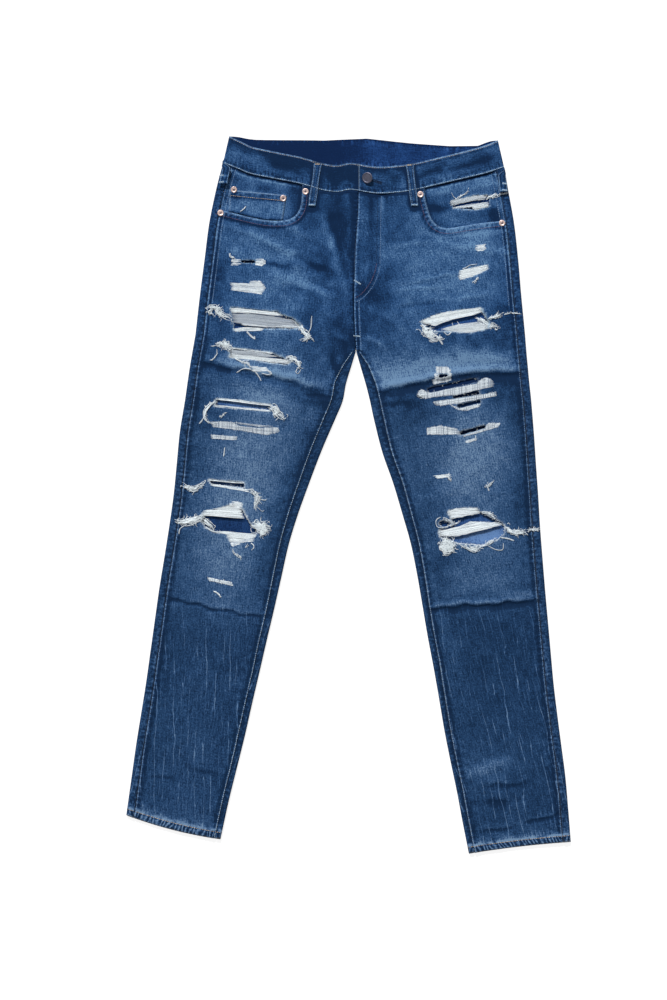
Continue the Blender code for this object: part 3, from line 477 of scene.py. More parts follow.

# The columns of a belt loop, with how high it is at each, and how pale: worn pale edges, and painted shade
# down its turned sides and in its grooves.
LOOP_COLUMNS = np.array((-6.5, -6.1, -5.3, -4.2, -2.5, 0, 2.5, 4.2, 5.3, 6.1, 6.5))
LOOP_RELIEF = np.array((-1.2, -0.3, 0.25, -0.3, 0.05, 0.3, 0.05, -0.3, 0.25, -0.3, -1.2))
LOOP_FADE_AND_SHADE = np.array((-0.3, 0.2, 0.95, 0.05, 0.12, 0.42, 0.12, 0.05, 0.95, 0.2, -0.3))
# A back loop further out than this wraps round the side: how far its foot moves to the front.
SIDE_LOOP = 100
SIDE_WRAP = 22

# Where columns and rows of cloth stand close together near an edge, and the back panel's strips
# on top: at the outseam in millimetres, and at the inseam as shares of the inseam's width.
EDGE_STEPS = (0, 0.7, 1.6, 3, 5, 7.5)
BAND_STEPS = (
    0, 0.8, 1.8, 3.2, 5.5, 8.5, 12, 16, 20, 24, 28, 32, 35.5, 38.5, 40.5, 42, 42.9, BAND_HEIGHT,
)
OUTER_STRIP = (0, 0.7, 1.6, 3, 4.6, 6.2, OUTSEAM - FOLD - GAP / 2)
INNER_STRIP = (1, 0.72, 0.45, 0.22, 0.08, 0)
FOLD_ANGLES = np.linspace(math.pi / 2, -math.pi / 2, 9)[1:]
# How much cloth a step round the outer fold takes, and how much there is before the underside.
FOLD_STEP = LEG_HEIGHT * 0.21
BACK_U = OUTSEAM - FOLD + FOLD_STEP * len(FOLD_ANGLES)
LEG_PIECES = ("front_panel", "back_panel", "yoke_panel", "facing_cloth")

# The coin pocket's top and foot, each from left to right. Its stitching: x1, y1, x2, y2, colour.
COIN_POCKET = (((-190, 488), (-98, 479)), ((-191, 430), (-106, 430)))
COIN_ROWS = (
    (-188, 486.2, -99.5, 477.6, "worn"), (-188, 478.6, -99.5, 470, "tan"),
    (-187.5, 486, -188.5, 455, "worn"), (-101, 478, -106.5, 441, "worn"),
)
# Openings higher than this are in the pocket facings.
FACING_FOOT = 440
# The waistband's end that lies under the buttonhole's end: its x from and to. Then the slit.
UNDERLAP = (54, 19)
BUTTONHOLE = ((37.5, 503.5), (54, 498))
# Two rows of topstitching lie this far from most seams.
SEAM_ROWS = (2.2, 8.4)
# The rings of the metal caps from the rim inwards: inset, rise.
RIVET_RINGS = ((0.5, 0.3), (0.9, 0.05), (0.9, -0.5), (0.5, -0.1), (0.35, 0.65), (0.55, 0.1))
BUTTON_RINGS = ((0.7, 0.5), (0.9, 0), (0.7, -0.45), (0.4, -0.05), (2, 0.12), (2, 0.08))
# Where the camera stands over the garment: x, y in its own frame.
CAMERA_AT = (-24, -8)

# A side of 1 is the wearer's left. The mouth's stitching ends before mouth_end on its way out.
Leg = namedtuple("Leg", "name side rows mouth mouth_end hem_bow")
RIGHT = Leg("right", -1, np.array(RIGHT_ROWS), np.array(RIGHT_MOUTH), 212, 4.5)
LEFT = Leg("left", 1, np.array(LEFT_ROWS), np.array(LEFT_MOUTH), 252, -2)
LEGS = (RIGHT, LEFT)


# ---------------------------------------------------------------- what a user would change


def length_setting(name, description, default):
    """A length, with its default in millimetres."""
    return FloatProperty(name=name, description=description, default=default * MM, unit="LENGTH")


def number_setting(name, description, default, most):
    return FloatProperty(name=name, description=description, default=default, min=0, max=most)


def colour_setting(name, description, default):
    return FloatVectorProperty(
        name=name, description=description, default=default, size=3, subtype="COLOR"
    )


class JeansCloth(bpy.types.PropertyGroup):
    """Sizes of the cloth and of the way it lies."""

    denim: length_setting("Denim", "Thickness of the denim", 1.2)
    band: length_setting("Waistband", "Thickness of the waistband", 2.2)
    cell: length_setting("Cell", "Spacing of the cloth's grid", 2.5)
    creases: number_setting("Creases", "How deep the creases are", 1, 1.5)
    crumple: length_setting("Crumple", "Depth of the soft unevenness", 0.45)
    weave: length_setting("Weave", "Pitch of the twill's ribs", 0.8)


class JeansThreads(bpy.types.PropertyGroup):
    """Sizes of the sewing thread and of the torn weft."""

    stitch: length_setting("Stitch", "Pitch of the topstitching", 3.4)
    thread: length_setting("Thread", "Width of the sewing thread", 0.8)
    weft_pitch: length_setting("Weft pitch", "Spacing of the bare weft", 0.62)
    weft: length_setting("Weft", "Radius of a weft thread", 0.36)
    fray: length_setting("Fray", "Radius of a torn fibre", 0.36)


class JeansColours(bpy.types.PropertyGroup):
    """Colours of the dye, threads and metal."""

    deep: colour_setting("Deep indigo", "Denim that isn't faded", (0.003, 0.018, 0.055))
    faded: colour_setting("Faded indigo", "Denim at its palest", (0.15, 0.248, 0.39))
    weft: colour_setting("Weft", "Undyed cotton", (0.9, 0.97, 1))
    # A thread's tone mixes this grey into the white weft; in the torn strands that grey is painted shade on
    # the fibres that lie low.
    grey_weft: colour_setting("Shaded weft", "Cotton that took some dye", (0.17, 0.22, 0.32))
    worn: colour_setting("Worn thread", "Blue topstitching", (0.21, 0.33, 0.52))
    rust: colour_setting("Rust thread", "Topstitching", (0.17, 0.11, 0.17))
    stone: colour_setting("Stone thread", "Topstitching of the waistband", (0.44, 0.43, 0.42))
    tan: colour_setting("Tan thread", "Topstitching of the hems", (0.58, 0.47, 0.33))
    cream: colour_setting("Cream thread", "Topstitching of the inseams", (0.42, 0.56, 0.7))
    dark: colour_setting("Dark thread", "Buttonhole", (0.012, 0.022, 0.05))
    copper: colour_setting("Copper", "Rivets", (0.88, 0.7, 0.65))
    pewter: colour_setting("Pewter", "Button", (0.22, 0.22, 0.3))


class JeansStage(bpy.types.PropertyGroup):
    """The floor, the lamps and the camera."""

    view_height: length_setting("View height", "Floor that the picture covers", 1600)
    camera_height: length_setting("Camera height", "Camera above the floor", 5000)
    key: number_setting("Key lamp", "Strength of the sun", 3.6, 20)
    fill: number_setting("Fill", "Strength of the sky", 0.27, 2)
    floor: number_setting("Floor", "Brightness of the bare floor", 0.3, 1)


PROPERTY_GROUPS = {
    JeansCloth: "jeans_cloth",
    JeansThreads: "jeans_threads",
    JeansColours: "jeans_colours",
    JeansStage: "jeans_stage",
}


def cloth_settings():
    return bpy.context.scene.jeans_cloth


# ---------------------------------------------------------------- the plan of the garment


def bell(value, width):
    """1 at nought, dying away over about a width on both sides."""
    return np.exp(-((value / width) ** 2))


def smoothstep(low, high, value):
    share = np.clip((value - low) / (high - low), 0, 1)
    return share * share * (3 - 2 * share)


def spline(table, at):
    """A table of rows read at fractional places, by a Catmull-Rom curve."""
    padded = np.vstack([2 * table[0] - table[1], table, 2 * table[-1] - table[-2]])
    i = np.clip(at.astype(int), 0, len(table) - 2)
    s = (at - i)[:, None]
    before, start, end, after = (padded[i + k] for k in range(4))
    return (
        start * (2 * s**3 - 3 * s**2 + 1)
        + (end - before) / 2 * (s**3 - 2 * s**2 + s)
        + end * (3 * s**2 - 2 * s**3)
        + (after - start) / 2 * (s**3 - s**2)
    )


def smooth_line(points, count):
    """A curve through a few points, as count points."""
    table = np.array(points, float)
    return spline(table, np.linspace(0, len(table) - 1, count))


def run_along(points):
    """How far each point is along the line through all of them."""
    return np.concatenate([[0], np.cumsum(np.linalg.norm(np.diff(points, axis=0), axis=1))])


def waist_seam():
    return smooth_line(FRONT_SEAM, 140)


def row_values(leg, t):
    """The leg's table at t, smooth within the hips and within the leg, with a corner at the crotch."""
    t = np.atleast_1d(np.asarray(t, float))
    values = np.empty((len(t), leg.rows.shape[1]))
    hips = t < CROTCH_ROW
    values[hips] = spline(leg.rows[: CROTCH_ROW + 1], t[hips])
    values[~hips] = spline(leg.rows[CROTCH_ROW:], t[~hips] - CROTCH_ROW)
    values[:, 2] += leg.side * GAP / 2
    i = np.clip(t.astype(int), 0, len(leg.rows) - 2)
    values[:, 5] = leg.rows[i, 5] + (leg.rows[i + 1, 5] - leg.rows[i, 5]) * (t - i)
    return values


def inseam_at(leg, t):
    """How far in from the inner fold a front panel's inseam is."""
    return row_values(leg, t)[:, 5]


def row_ends(leg, t, back=False):
    """The outer and the inner ends of the rows at t."""
    values = row_values(leg, t)
    inner_x = values[:, 2]
    if back:
        inner_x = np.where(np.atleast_1d(t) < CROTCH_ROW, BACK_CENTRE_X + leg.side * GAP / 2, inner_x)
    return values[:, :2], np.column_stack([inner_x, values[:, 4 if back else 3]])


def row_length(leg, t, back=False):
    outer, inner = row_ends(leg, t, back)
    return np.linalg.norm(inner - outer, axis=1)


def plan(leg, t, distance, back=False):
    """x, y at distances from the outer fold along the rows at t. Distance has a column each."""
    t = np.atleast_1d(np.asarray(t, float))
    distance = np.atleast_2d(distance)
    outer, inner = row_ends(leg, t, back)
    share = distance / np.linalg.norm(inner - outer, axis=1)[:, None]
    x = outer[:, :1] + (inner - outer)[:, :1] * share
    y = outer[:, 1:] + (inner - outer)[:, 1:] * share
    seam = np.array(BACK_BAND) if back else waist_seam()
    waist_outer, waist_inner = (end[0] for end in row_ends(leg, 0, back))
    line_x = waist_outer[0] + (waist_inner[0] - waist_outer[0]) * share
    line_y = waist_outer[1] + (waist_inner[1] - waist_outer[1]) * share
    pull = np.maximum(0, 1 - (t / 1.5) ** 2)[:, None] ** 2
    y = y + (np.interp(line_x, seam[:, 0], seam[:, 1]) - line_y) * pull
    near_hem = np.maximum(0, t - (len(leg.rows) - 2))[:, None]
    return x, y - leg.hem_bow * near_hem * 4 * share * (1 - share)


def rows_between(leg, start, end, spacing):
    """Places t from start to end that are evenly spaced down the leg."""
    dense = np.linspace(start, end, 800)
    run = run_along(sum(row_ends(leg, dense)) / 2)
    count = max(2, int(round(run[-1] / spacing)) + 1)
    return np.interp(np.linspace(0, run[-1], count), run, dense)


def leg_rows(leg, first, spacing):
    """Places t from first to the hem, which leave the crotch free."""
    hips = rows_between(leg, first, CROTCH_ROW - 0.02, spacing)
    return np.concatenate([hips, rows_between(leg, CROTCH_ROW, len(leg.rows) - 1, spacing)])


def down_leg(leg, t):
    """How far t is down the outseam from the waist."""
    dense = np.linspace(0, len(leg.rows) - 1, 800)
    return np.interp(t, dense, run_along(row_ends(leg, dense)[0]))


def to_line(x, y, line):
    """Distance from each x, y to a line, the nearest point's x and y, and how far along it is."""
    points = np.column_stack([np.ravel(x), np.ravel(y)])
    gap = np.full(len(points), 1e9)
    near = points.copy()
    along = np.zeros(len(points))
    run = 0
    for start, end in zip(line[:-1], line[1:]):
        step = end - start
        length = np.hypot(*step) + 1e-9
        share = np.clip((points - start) @ step / length**2, 0, 1)
        foot = start + share[:, None] * step
        away = np.hypot(*(points - foot).T)
        closer = away < gap
        gap[closer] = away[closer]
        near[closer] = foot[closer]
        along[closer] = run + share[closer] * length
        run += length
    return [found.reshape(np.shape(x)) for found in (gap, *near.T, along)]


def inside(x, y, outline):
    """Which points an outline goes round, by counting how often a line from each crosses it."""
    hit = np.zeros(np.shape(x), bool)
    for (ax, ay), (bx, by) in zip(outline, np.roll(outline, -1, axis=0)):
        crosses = (ay > y) != (by > y)
        rise = by - ay if by != ay else 1
        hit ^= crosses & (x < (bx - ax) * (y - ay) / rise + ax)
    return hit


def closed(outline):
    return np.vstack([outline, outline[:1]])


def mouth_line(leg, offset=0):
    """The edge of a front pocket's mouth. A positive offset goes into the front panel."""
    line = smooth_line(leg.mouth, 90)
    heading = np.gradient(line, axis=0)
    heading /= np.linalg.norm(heading, axis=1)[:, None]
    return line + np.column_stack([-heading[:, 1], heading[:, 0]]) * (leg.side * -offset)


def mouth_corner(leg, offset=0):
    """The corner that the mouth cuts from the front panel."""
    line = mouth_line(leg, offset)
    far_x = line[-1, 0] + leg.side * 40
    far_y = line[0, 1] + 60
    return np.vstack([line, [(far_x, line[-1, 1]), (far_x, far_y), (line[0, 0], far_y)]])


def torn(outline, seed):
    """An outline whose edges are torn: a point every few millimetres, each pulled in or out."""
    random = np.random.default_rng(seed)
    corners = np.array(outline, float)
    points = []
    for start, end in zip(corners, np.roll(corners, -1, axis=0)):
        length = np.hypot(*(end - start))
        steps = max(1, int(length / 3.2))
        aside = np.array((start[1] - end[1], end[0] - start[0])) / max(length, 1e-6)
        for k in range(steps):
            pull = random.uniform(-0.55, 0.55) if k else 0
            points.append(start + (end - start) * k / steps + aside * pull)
    return np.array(points)


# ---------------------------------------------------------------- heights and fades


def lattice_noise(x, y, cell, seed):
    """Smooth noise from -1 to 1 with features of about a cell."""
    grid = np.random.default_rng(seed).uniform(-1, 1, (128, 128))
    u, v = np.asarray(x) / cell, np.asarray(y) / cell
    i, j = np.floor(u).astype(int), np.floor(v).astype(int)
    s, t = u - i, v - j
    s, t = s * s * (3 - 2 * s), t * t * (3 - 2 * t)
    i, j = i % 127, j % 127
    low = grid[i, j] * (1 - s) + grid[i + 1, j] * s
    high = grid[i, j + 1] * (1 - s) + grid[i + 1, j + 1] * s
    return low * (1 - t) + high * t


def wave(v, beat, seed):
    """An uneven ripple along a seam, from -1 to 1."""
    bend = 1.9 * np.sin(v / (2.3 * beat) + seed)
    swell = 0.6 + 0.4 * np.sin(v / (3.1 * beat) + 2 * seed)
    return np.sin(math.tau * v / beat + bend) * swell


def warped(x, y, reach):
    """A place moved by soft noise, so that what is laid out there gets uneven edges."""
    return x + reach * lattice_noise(x, y, 24, 71), y + reach * lattice_noise(x, y, 17, 72)


def fold_height(x, y, folds):
    """The height of soft creases and ridges from a table of them."""
    x, y = warped(x, y, 3)
    total = np.zeros(np.shape(x))
    for x1, y1, x2, y2, bow, rise, lip, width in folds:
        length = math.hypot(x2 - x1, y2 - y1)
        ex, ey = (x2 - x1) / length, (y2 - y1) / length
        along = ((x - x1) * ex + (y - y1) * ey) / length
        hump = np.clip(4 * along * (1 - along), 0, 1)
        across = ((y - y1) * ex - (x - x1) * ey - bow * hump) / width
        total += hump**0.6 * bell(across, 1) * (rise + lip * 2.33 * across)
    return total


def patches(x, y, table):
    """The sum of soft oval patches."""
    x, y = warped(x, y, 7)
    total = np.zeros(np.shape(x))
    for cx, cy, half_width, half_height, lean, amount in table:
        cosine, sine = math.cos(math.radians(lean)), math.sin(math.radians(lean))
        across = ((x - cx) * cosine + (y - cy) * sine) / half_width
        up = ((y - cy) * cosine - (x - cx) * sine) / half_height
        total += amount * bell(across, 1) * bell(up, 1)
    return total


def crumple(x, y):
    coarse = lattice_noise(x, y, 42, 3)
    middle = lattice_noise(0.6 * x + 0.3 * y, y - 0.2 * x, 12, 4)
    fine = lattice_noise(x, 0.7 * y, 5, 5)
    return cloth_settings().crumple / MM * (1.4 * coarse + 0.8 * middle + 0.3 * fine)


def under_z(y):
    """The height of the underside: the seat stands a little higher than the legs."""
    return SEAT_LIFT * smoothstep(*SEAT_RAMP, y)


def under_height(x, y):
    """The underside of the back: flat on the floor, apart from creases that dent it upwards."""
    dents = fold_height(x, y, UNDER_FOLDS) * cloth_settings().creases
    uneven = 0.25 * (1 + lattice_noise(x, y, 26, 9))
    return under_z(y) + np.maximum(0, dents) * 1.1 + uneven * smoothstep(0.15, 0.5, uneven)


def open_height(x, y):
    """The top of the cloth away from its seams."""
    folds = fold_height(x, y, TOP_FOLDS) * cloth_settings().creases
    return under_z(y) + LEG_HEIGHT + np.clip(folds + crumple(x, y), -2.2, 4)


def rip_level(x, y):
    """The height of the cloth round a rip at one place. Above FACING_FOOT that is a pocket facing."""
    return float(open_height(np.array(x), np.array(y))) - (FACING_SINK if y > FACING_FOOT else 0)


def pucker(gap, v, seed):
    """Puckers along a seam, from -1 to 1, that die out away from it."""
    return bell(gap, 6.5) * wave(v, 8.5, seed)


def seam_height(gap, v, seed):
    """A pressed seam: an edge that dives in, the ridge of its allowance, and puckers."""
    ridge = 0.7 * (1 - smoothstep(7, 10, gap))
    return -1.1 * bell(gap, 0.9) + ridge + 0.9 * pucker(gap, v, seed)


def seam_fade_and_shade(gap, v, seed, line=0.35):
    """Along a seam: a rubbed line at its edge, a dark strip behind it, pale patches, and puckers that are
    paler where they stand up and have painted shade where they sink.
    """
    rubbed = line * bell(gap - 1.3, 1.1)
    groove = 0.22 * bell(gap - 5, 2.4) + 0.1 * bell(gap, 14)
    pale = 0.1 * bell(gap - 13, 4) * (0.6 + wave(v, 16, seed + 2))
    return rubbed - groove + pale + 0.26 * pucker(gap, v, seed)


def hem_height(x, up):
    """The turned hem: raised, roped on a slant, with its stitching sunk in."""
    raised = 0.9 * (1 - smoothstep(HEM_HEIGHT - 0.6, HEM_HEIGHT + 0.8, up))
    ropes = 0.8 * wave(x + 0.3 * up, 5.6, 1) * (1 - smoothstep(9, 14, up))
    puckers = 0.3 * wave(x - 0.3 * up, 9, 2) * bell(up - 14, 8)
    return raised + ropes + puckers - 0.6 * bell(up - HEM_HEIGHT + 1.5, 0.9) - 0.7 * bell(up, 1)


def hem_fade(x, y, up):
    """A rubbed band above the hem's stitching, and a dark one below it."""
    band = bell(up - HEM_HEIGHT - 0.8, 1.7) * (0.8 + 0.8 * lattice_noise(x, y, 6, 51))
    soft = bell(up - HEM_HEIGHT - 5, 6) * (0.2 + 0.3 * lattice_noise(x, y, 9, 53))
    return band + soft - 0.4 * bell(up - HEM_HEIGHT + 2.8, 1)


def top_fade_and_shade(x, y):
    """How faded the top is, with painted shade in its creases and dark places: about 0.2 where it is deep
    blue, and up to 1.
    """
    base = 0.19 - 0.05 * smoothstep(-150, -230, y)
    clouds = lattice_noise(x, y, 30, 21) + lattice_noise(x, y, 12, 22)
    soft = (0.03 + 0.08 * smoothstep(-60, 240, y)) * clouds
    # The ridges of the creases are paler, where they wear, and their troughs get painted shade.
    rubbed = np.clip(fold_height(x, y, TOP_FOLDS), -1.2, 1.2) * 0.32
    return base + patches(x, y, TOP_FADES) - patches(x, y, TOP_SHADES) + soft + rubbed


def loop_shade(x, y):
    """Painted shadow on the cloth beside and below the front belt loops."""
    shade = np.zeros(np.shape(x))
    for _, *ends in FRONT_LOOPS:
        away = np.maximum(0, to_line(x, y, np.array(ends).reshape(2, 2))[0] - 5.5)
        shade += 0.9 * bell(away, 3.4)
    return shade


def fly_height(x, y):
    """The placket of the fly stands up under its J-shaped stitching."""
    rise = np.clip((y - FLY_FOOT) / (FLY_BEND - FLY_FOOT), 0, 1)
    beside = x - BACK_CENTRE_X - FLY_WIDTH * np.sqrt(rise)
    placket = 0.7 * (1 - smoothstep(-2, 2, beside)) * (y > FLY_FOOT)
    return placket - 0.5 * bell(beside + 3, 2) * (y > FLY_FOOT + 4)


def fly_fade(x, y):
    """The columns of the fly's placket, and the rubbed line along its J-shaped stitching."""
    columns = sum(amount * bell(x - place, width) for place, width, amount in FLY_COLUMNS)
    away = to_line(x, y, smooth_line(FLY_CURVE, 30))[0]
    total = columns * smoothstep(300, 380, y) + 0.32 * bell(away, 1.7) - 0.14 * bell(away - 4.5, 2)
    return total * (0.7 + 0.6 * lattice_noise(3 * x, y, 14, 52))


# ---------------------------------------------------------------- mesh tools


def placed(x, y, z):
    """Plan points in metres, in the garment's own frame."""
    x, y, z = np.broadcast_arrays(x, y, z)
    return np.stack([(x + PLAN_SHIFT[0]) * MM, (y + PLAN_SHIFT[1]) * MM, z * MM], axis=-1)


def deselect():
    for obj in bpy.context.selected_objects:
        obj.select_set(False)


def make_active(obj):
    deselect()
    obj.select_set(True)
    bpy.context.view_layer.objects.active = obj


def fill(target, key, values, kind=np.float32):
    """Fills all of a mesh's vertices, corners or faces from an array."""
    target.foreach_set(key, np.ascontiguousarray(values, kind).ravel())


def mesh_object(name, points, faces, values=None, uv=None, dye=None):
    """An object from arrays of points and of faces that all have as many corners."""
    mesh = bpy.data.meshes.new(name)
    mesh.vertices.add(len(points))
    fill(mesh.vertices, "co", points)
    mesh.loops.add(faces.size)
    fill(mesh.loops, "vertex_index", faces, np.int32)
    mesh.polygons.add(len(faces))
    fill(mesh.polygons, "loop_start", np.arange(0, faces.size, faces.shape[1]), np.int32)
    mesh.update(calc_edges=True)
    mesh.validate()
    for key, value in (values or {}).items():
        fill(mesh.attributes.new(key, "FLOAT", "POINT").data, "value", value)
    if dye is not None:
        colour = np.column_stack([dye, np.ones(len(dye))])
        fill(mesh.attributes.new("dye", "FLOAT_COLOR", "POINT").data, "color", colour)
    if uv is not None:
        fill(mesh.uv_layers.new(name="cloth").data, "uv", uv[faces.ravel()])
    mesh.shade_smooth()
    obj = bpy.data.objects.new(name, mesh)
    bpy.context.scene.collection.objects.link(obj)
    return obj


def thread_object(name, points, faces, dye, material):
    """A mesh of threads, which rides on the garment."""
    obj = mesh_object(name, points, faces, dye=dye)
    obj.data.materials.append(MATERIALS[material])
    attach(obj, ROOT)


def cells_of(grid):
    """The four corners of each cell of a grid."""
    return grid[:-1, :-1], grid[:-1, 1:], grid[1:, 1:], grid[1:, :-1]


def all_cells(x):
    return np.ones((x.shape[0] - 1, x.shape[1] - 1), bool)


def cut_out(x, y, kept, outline, keep_inside=False):
    """Removes the cells inside an outline, and draws the cut edge onto it."""
    middle = [sum(cells_of(value)) / 4 for value in (x, y)]
    removed = (inside(*middle, outline) ^ keep_inside) & kept
    kept &= ~removed
    beside = np.zeros((2, *x.shape), bool)
    for touched, cells in zip(beside, (removed, kept)):
        for corner in cells_of(touched):
            corner |= cells
    moved = beside[0] & beside[1]
    x[moved], y[moved] = to_line(x[moved], y[moved], closed(outline))[1:3]


def finish_piece(obj, node):
    """Lets a piece ride on the garment in place of its CAD node."""
    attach(obj, ROOT)
    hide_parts(node)


def cloth_piece(name, node, grid, u, v, values, flip=False, kept=None, wall=None, **sheet):
    """A sheet from a grid of x, y and z, with its cloth coordinates, its wall and its node."""
    points = placed(*grid)
    shape = points.shape[:2]
    index = np.arange(points.size // 3).reshape(shape)
    faces = np.stack(cells_of(index), axis=-1)[all_cells(index) if kept is None else kept]
    used, faces = np.unique(faces[:, ::-1] if flip else faces, return_inverse=True)
    uv = np.stack(np.broadcast_arrays(u, v), axis=-1).reshape(-1, 2)[used] * MM
    values = {key: np.broadcast_to(value, shape).ravel()[used] for key, value in values.items()}
    obj = mesh_object(name, points.reshape(-1, 3)[used], faces.reshape(-1, 4), values, uv)
    # The second material is the wrong side of the cloth.
    obj.data.materials.append(MATERIALS["denim"])
    obj.data.materials.append(MATERIALS["inside"])
    make_active(obj)
    solid = obj.modifiers.new("Wall", "SOLIDIFY")
    solid.thickness = wall or cloth_settings().denim
    solid.offset = -1
    solid.material_offset = 1
    bpy.ops.object.modifier_apply(modifier=solid.name)
    finish_piece(obj, node)


def tubes(paths, radius, sides):
    """Closed tubes along paths, an array of paths, points and x, y, z. Radius has one for each point."""
    heading = np.gradient(paths, axis=1)
    heading /= np.linalg.norm(heading, axis=2, keepdims=True) + 1e-12
    across = np.cross(heading, np.array((0, 0, 1)))
    across /= np.linalg.norm(across, axis=2, keepdims=True) + 1e-9
    up = np.cross(across, heading)
    turn = np.arange(sides) * math.tau / sides
    ring = across[:, :, None] * np.cos(turn)[:, None] + up[:, :, None] * np.sin(turn)[:, None]
    points = paths[:, :, None] + ring * radius[..., None, None]
    index = np.arange(points.size // 3).reshape(points.shape[:3])
    following = np.roll(index, -1, axis=2)
    walls = np.stack([index[:, :-1], following[:, :-1], following[:, 1:], index[:, 1:]], axis=-1)
    return points.reshape(-1, 3), walls.reshape(-1, 4)


# ---------------------------------------------------------------- materials


def add_node(tree, kind, inputs=None, **settings):
    """A shader node with its settings, and each input set or linked."""
    made = tree.nodes.new(kind)
    for key, value in settings.items():
        setattr(made, key, value)
    for key, value in (inputs or {}).items():
        if isinstance(value, Wire):
            tree.links.new(value.socket, made.inputs[key])
        else:
            made.inputs[key].default_value = value
    return made


class Wire:
    """A value that runs through a shader's nodes. Sums and products of wires add their own nodes."""

    def __init__(self, tree, socket):
        self.tree = tree
        self.socket = socket

    def math(self, operation, other=0, first=None):
        """This value and another through a Math node, or first and this one."""
        sides = {0: self, 1: other} if first is None else {0: first, 1: self}
        made = add_node(self.tree, "ShaderNodeMath", sides, operation=operation)
        return Wire(self.tree, made.outputs[0])

    def __add__(self, other):
        return self.math("ADD", other)

    def __radd__(self, other):
        return self.math("ADD", first=other)

    def __sub__(self, other):
        return self.math("SUBTRACT", other)

    def __rsub__(self, other):
        return self.math("SUBTRACT", first=other)

    def __mul__(self, other):
        return self.math("MULTIPLY", other)

    def __truediv__(self, other):
        return self.math("DIVIDE", other)

    def clamped(self):
        """The same value, kept from 0 to 1."""
        self.socket.node.use_clamp = True
        return self

    def axes(self):
        parts = add_node(self.tree, "ShaderNodeSeparateXYZ", {0: self})
        return [Wire(self.tree, output) for output in parts.outputs]

    def to(self, node, name):
        self.tree.links.new(self.socket, node.inputs[name])


def noise(place, size, detail=2):
    """Noise whose features are about size across, in metres, one for all axes or three."""
    tree = place.tree
    scale = (1 / np.broadcast_to(size, 3)).tolist()
    scaled = add_node(tree, "ShaderNodeMapping", {"Vector": place, "Scale": scale})
    inputs = {
        "Vector": Wire(tree, scaled.outputs[0]), "Scale": 1, "Detail": detail, "Roughness": 0.55,
    }
    return Wire(tree, add_node(tree, "ShaderNodeTexNoise", inputs).outputs[0])


def mix(tree, factor, first, second, blend="MIX"):
    """Two colours mixed by a factor. A plain colour is three numbers."""
    first, second = (side if isinstance(side, Wire) else (*side, 1) for side in (first, second))
    sides = {"Factor": factor, 6: first, 7: second}
    made = add_node(tree, "ShaderNodeMix", sides, data_type="RGBA", blend_type=blend)
    made.clamp_result = blend == "MULTIPLY"
    return Wire(tree, made.outputs[2])


def attribute(tree, name, output="Fac"):
    made = add_node(tree, "ShaderNodeAttribute", attribute_name=name)
    return Wire(tree, made.outputs[output])


def new_group(name, inputs, outputs, kind="NodeSocketFloat"):
    """A shader node group with named sockets. Inputs have defaults, and a vector's is None."""
    group = bpy.data.node_groups.new(name, "ShaderNodeTree")
    for socket, default in inputs.items():
        given = "NodeSocketVector" if default is None else "NodeSocketFloat"
        made = group.interface.new_socket(socket, in_out="INPUT", socket_type=given)
        if default is not None:
            made.default_value = default
    for socket in outputs:
        group.interface.new_socket(socket, in_out="OUTPUT", socket_type=kind)
    read = group.nodes.new("NodeGroupInput").outputs
    return group, [Wire(group, read[key]) for key in inputs], group.nodes.new("NodeGroupOutput")


def group_wires(tree, group, inputs):
    """Places a group in a material. Its outputs come back by name."""
    made = add_node(tree, "ShaderNodeGroup", inputs, node_tree=group)
    return {output.name: Wire(tree, output) for output in made.outputs}


def twill_group():
    """Slanted ribs of a twill weave, with its yarns of uneven thickness."""
    group, (place, pitch), out = new_group("Twill weave", {"Vector": None, "Pitch": 0.0008}, ("Height",))
    x, y, _ = place.axes()
    rib = ((x + y * 0.6) / pitch * math.tau).math("SINE")
    pick = (y / pitch * math.tau).math("SINE")
    ((rib + pick * 0.4) * 0.3 + 0.5).to(out, "Height")
    return group


def streak_group():
    """Uneven yarns down and across the cloth, clouds of dye, specks, and long pale hairlines."""
    yarns = {
        "Warp": ((0.0013, 0.016, 1), 3),
        "Weft": ((0.012, 0.0014, 1), 2),
        "Cloud": ((0.02, 0.026, 1), 5),
        "Speck": ((0.0019, 0.0027, 1), 2),
    }
    group, (place,), out = new_group("Yarn streaks", {"Vector": None}, (*yarns, "Hairline"))
    for name, (size, detail) in yarns.items():
        noise(place, size, detail).to(out, name)
    x, y, _ = place.axes()
    slant = x + y * -0.1
    total = 0
    for pitch, sharp, reach, strength in ((0.013, 19, 0.12, 1.2), (0.0065, 10, 0.04, 0.55)):
        drift = noise(place, (1.6 * pitch, reach, 1), 3)
        away = (slant / pitch + drift * 1.8).math("PINGPONG", 0.5)
        hair = (1 - away * sharp).clamped()
        broken = noise(place, (0.7 * pitch, reach, 1), 3)
        lit = ((broken - 0.46) * 9).clamped()
        total = total + hair * lit * strength
    total.to(out, "Hairline")
    return group


def wear_group():
    """Rubbed and dark ticks along a seam or an edge."""
    inputs = {"Vector": None, "Edge": 0, "Ropes": 0}
    group, (place, edge, ropes), out = new_group("Seam wear", inputs, ("Wear",))
    wear = (noise(place, (0.007, 0.0042, 1)) - 0.5) * 4.4 * edge
    x, y, _ = place.axes()
    slant = x + y * 0.3
    drift = noise(place, (0.018, 0.04, 1))
    twist = ((slant / 0.0062 + drift * 3) * math.tau).math("SINE") + 1
    twist = (twist * 0.5).math("POWER", 2.2) - 0.22
    uneven = noise(place, (0.008, 0.005, 1)) + 0.15
    (wear + twist * uneven * ropes).to(out, "Wear")
    return group


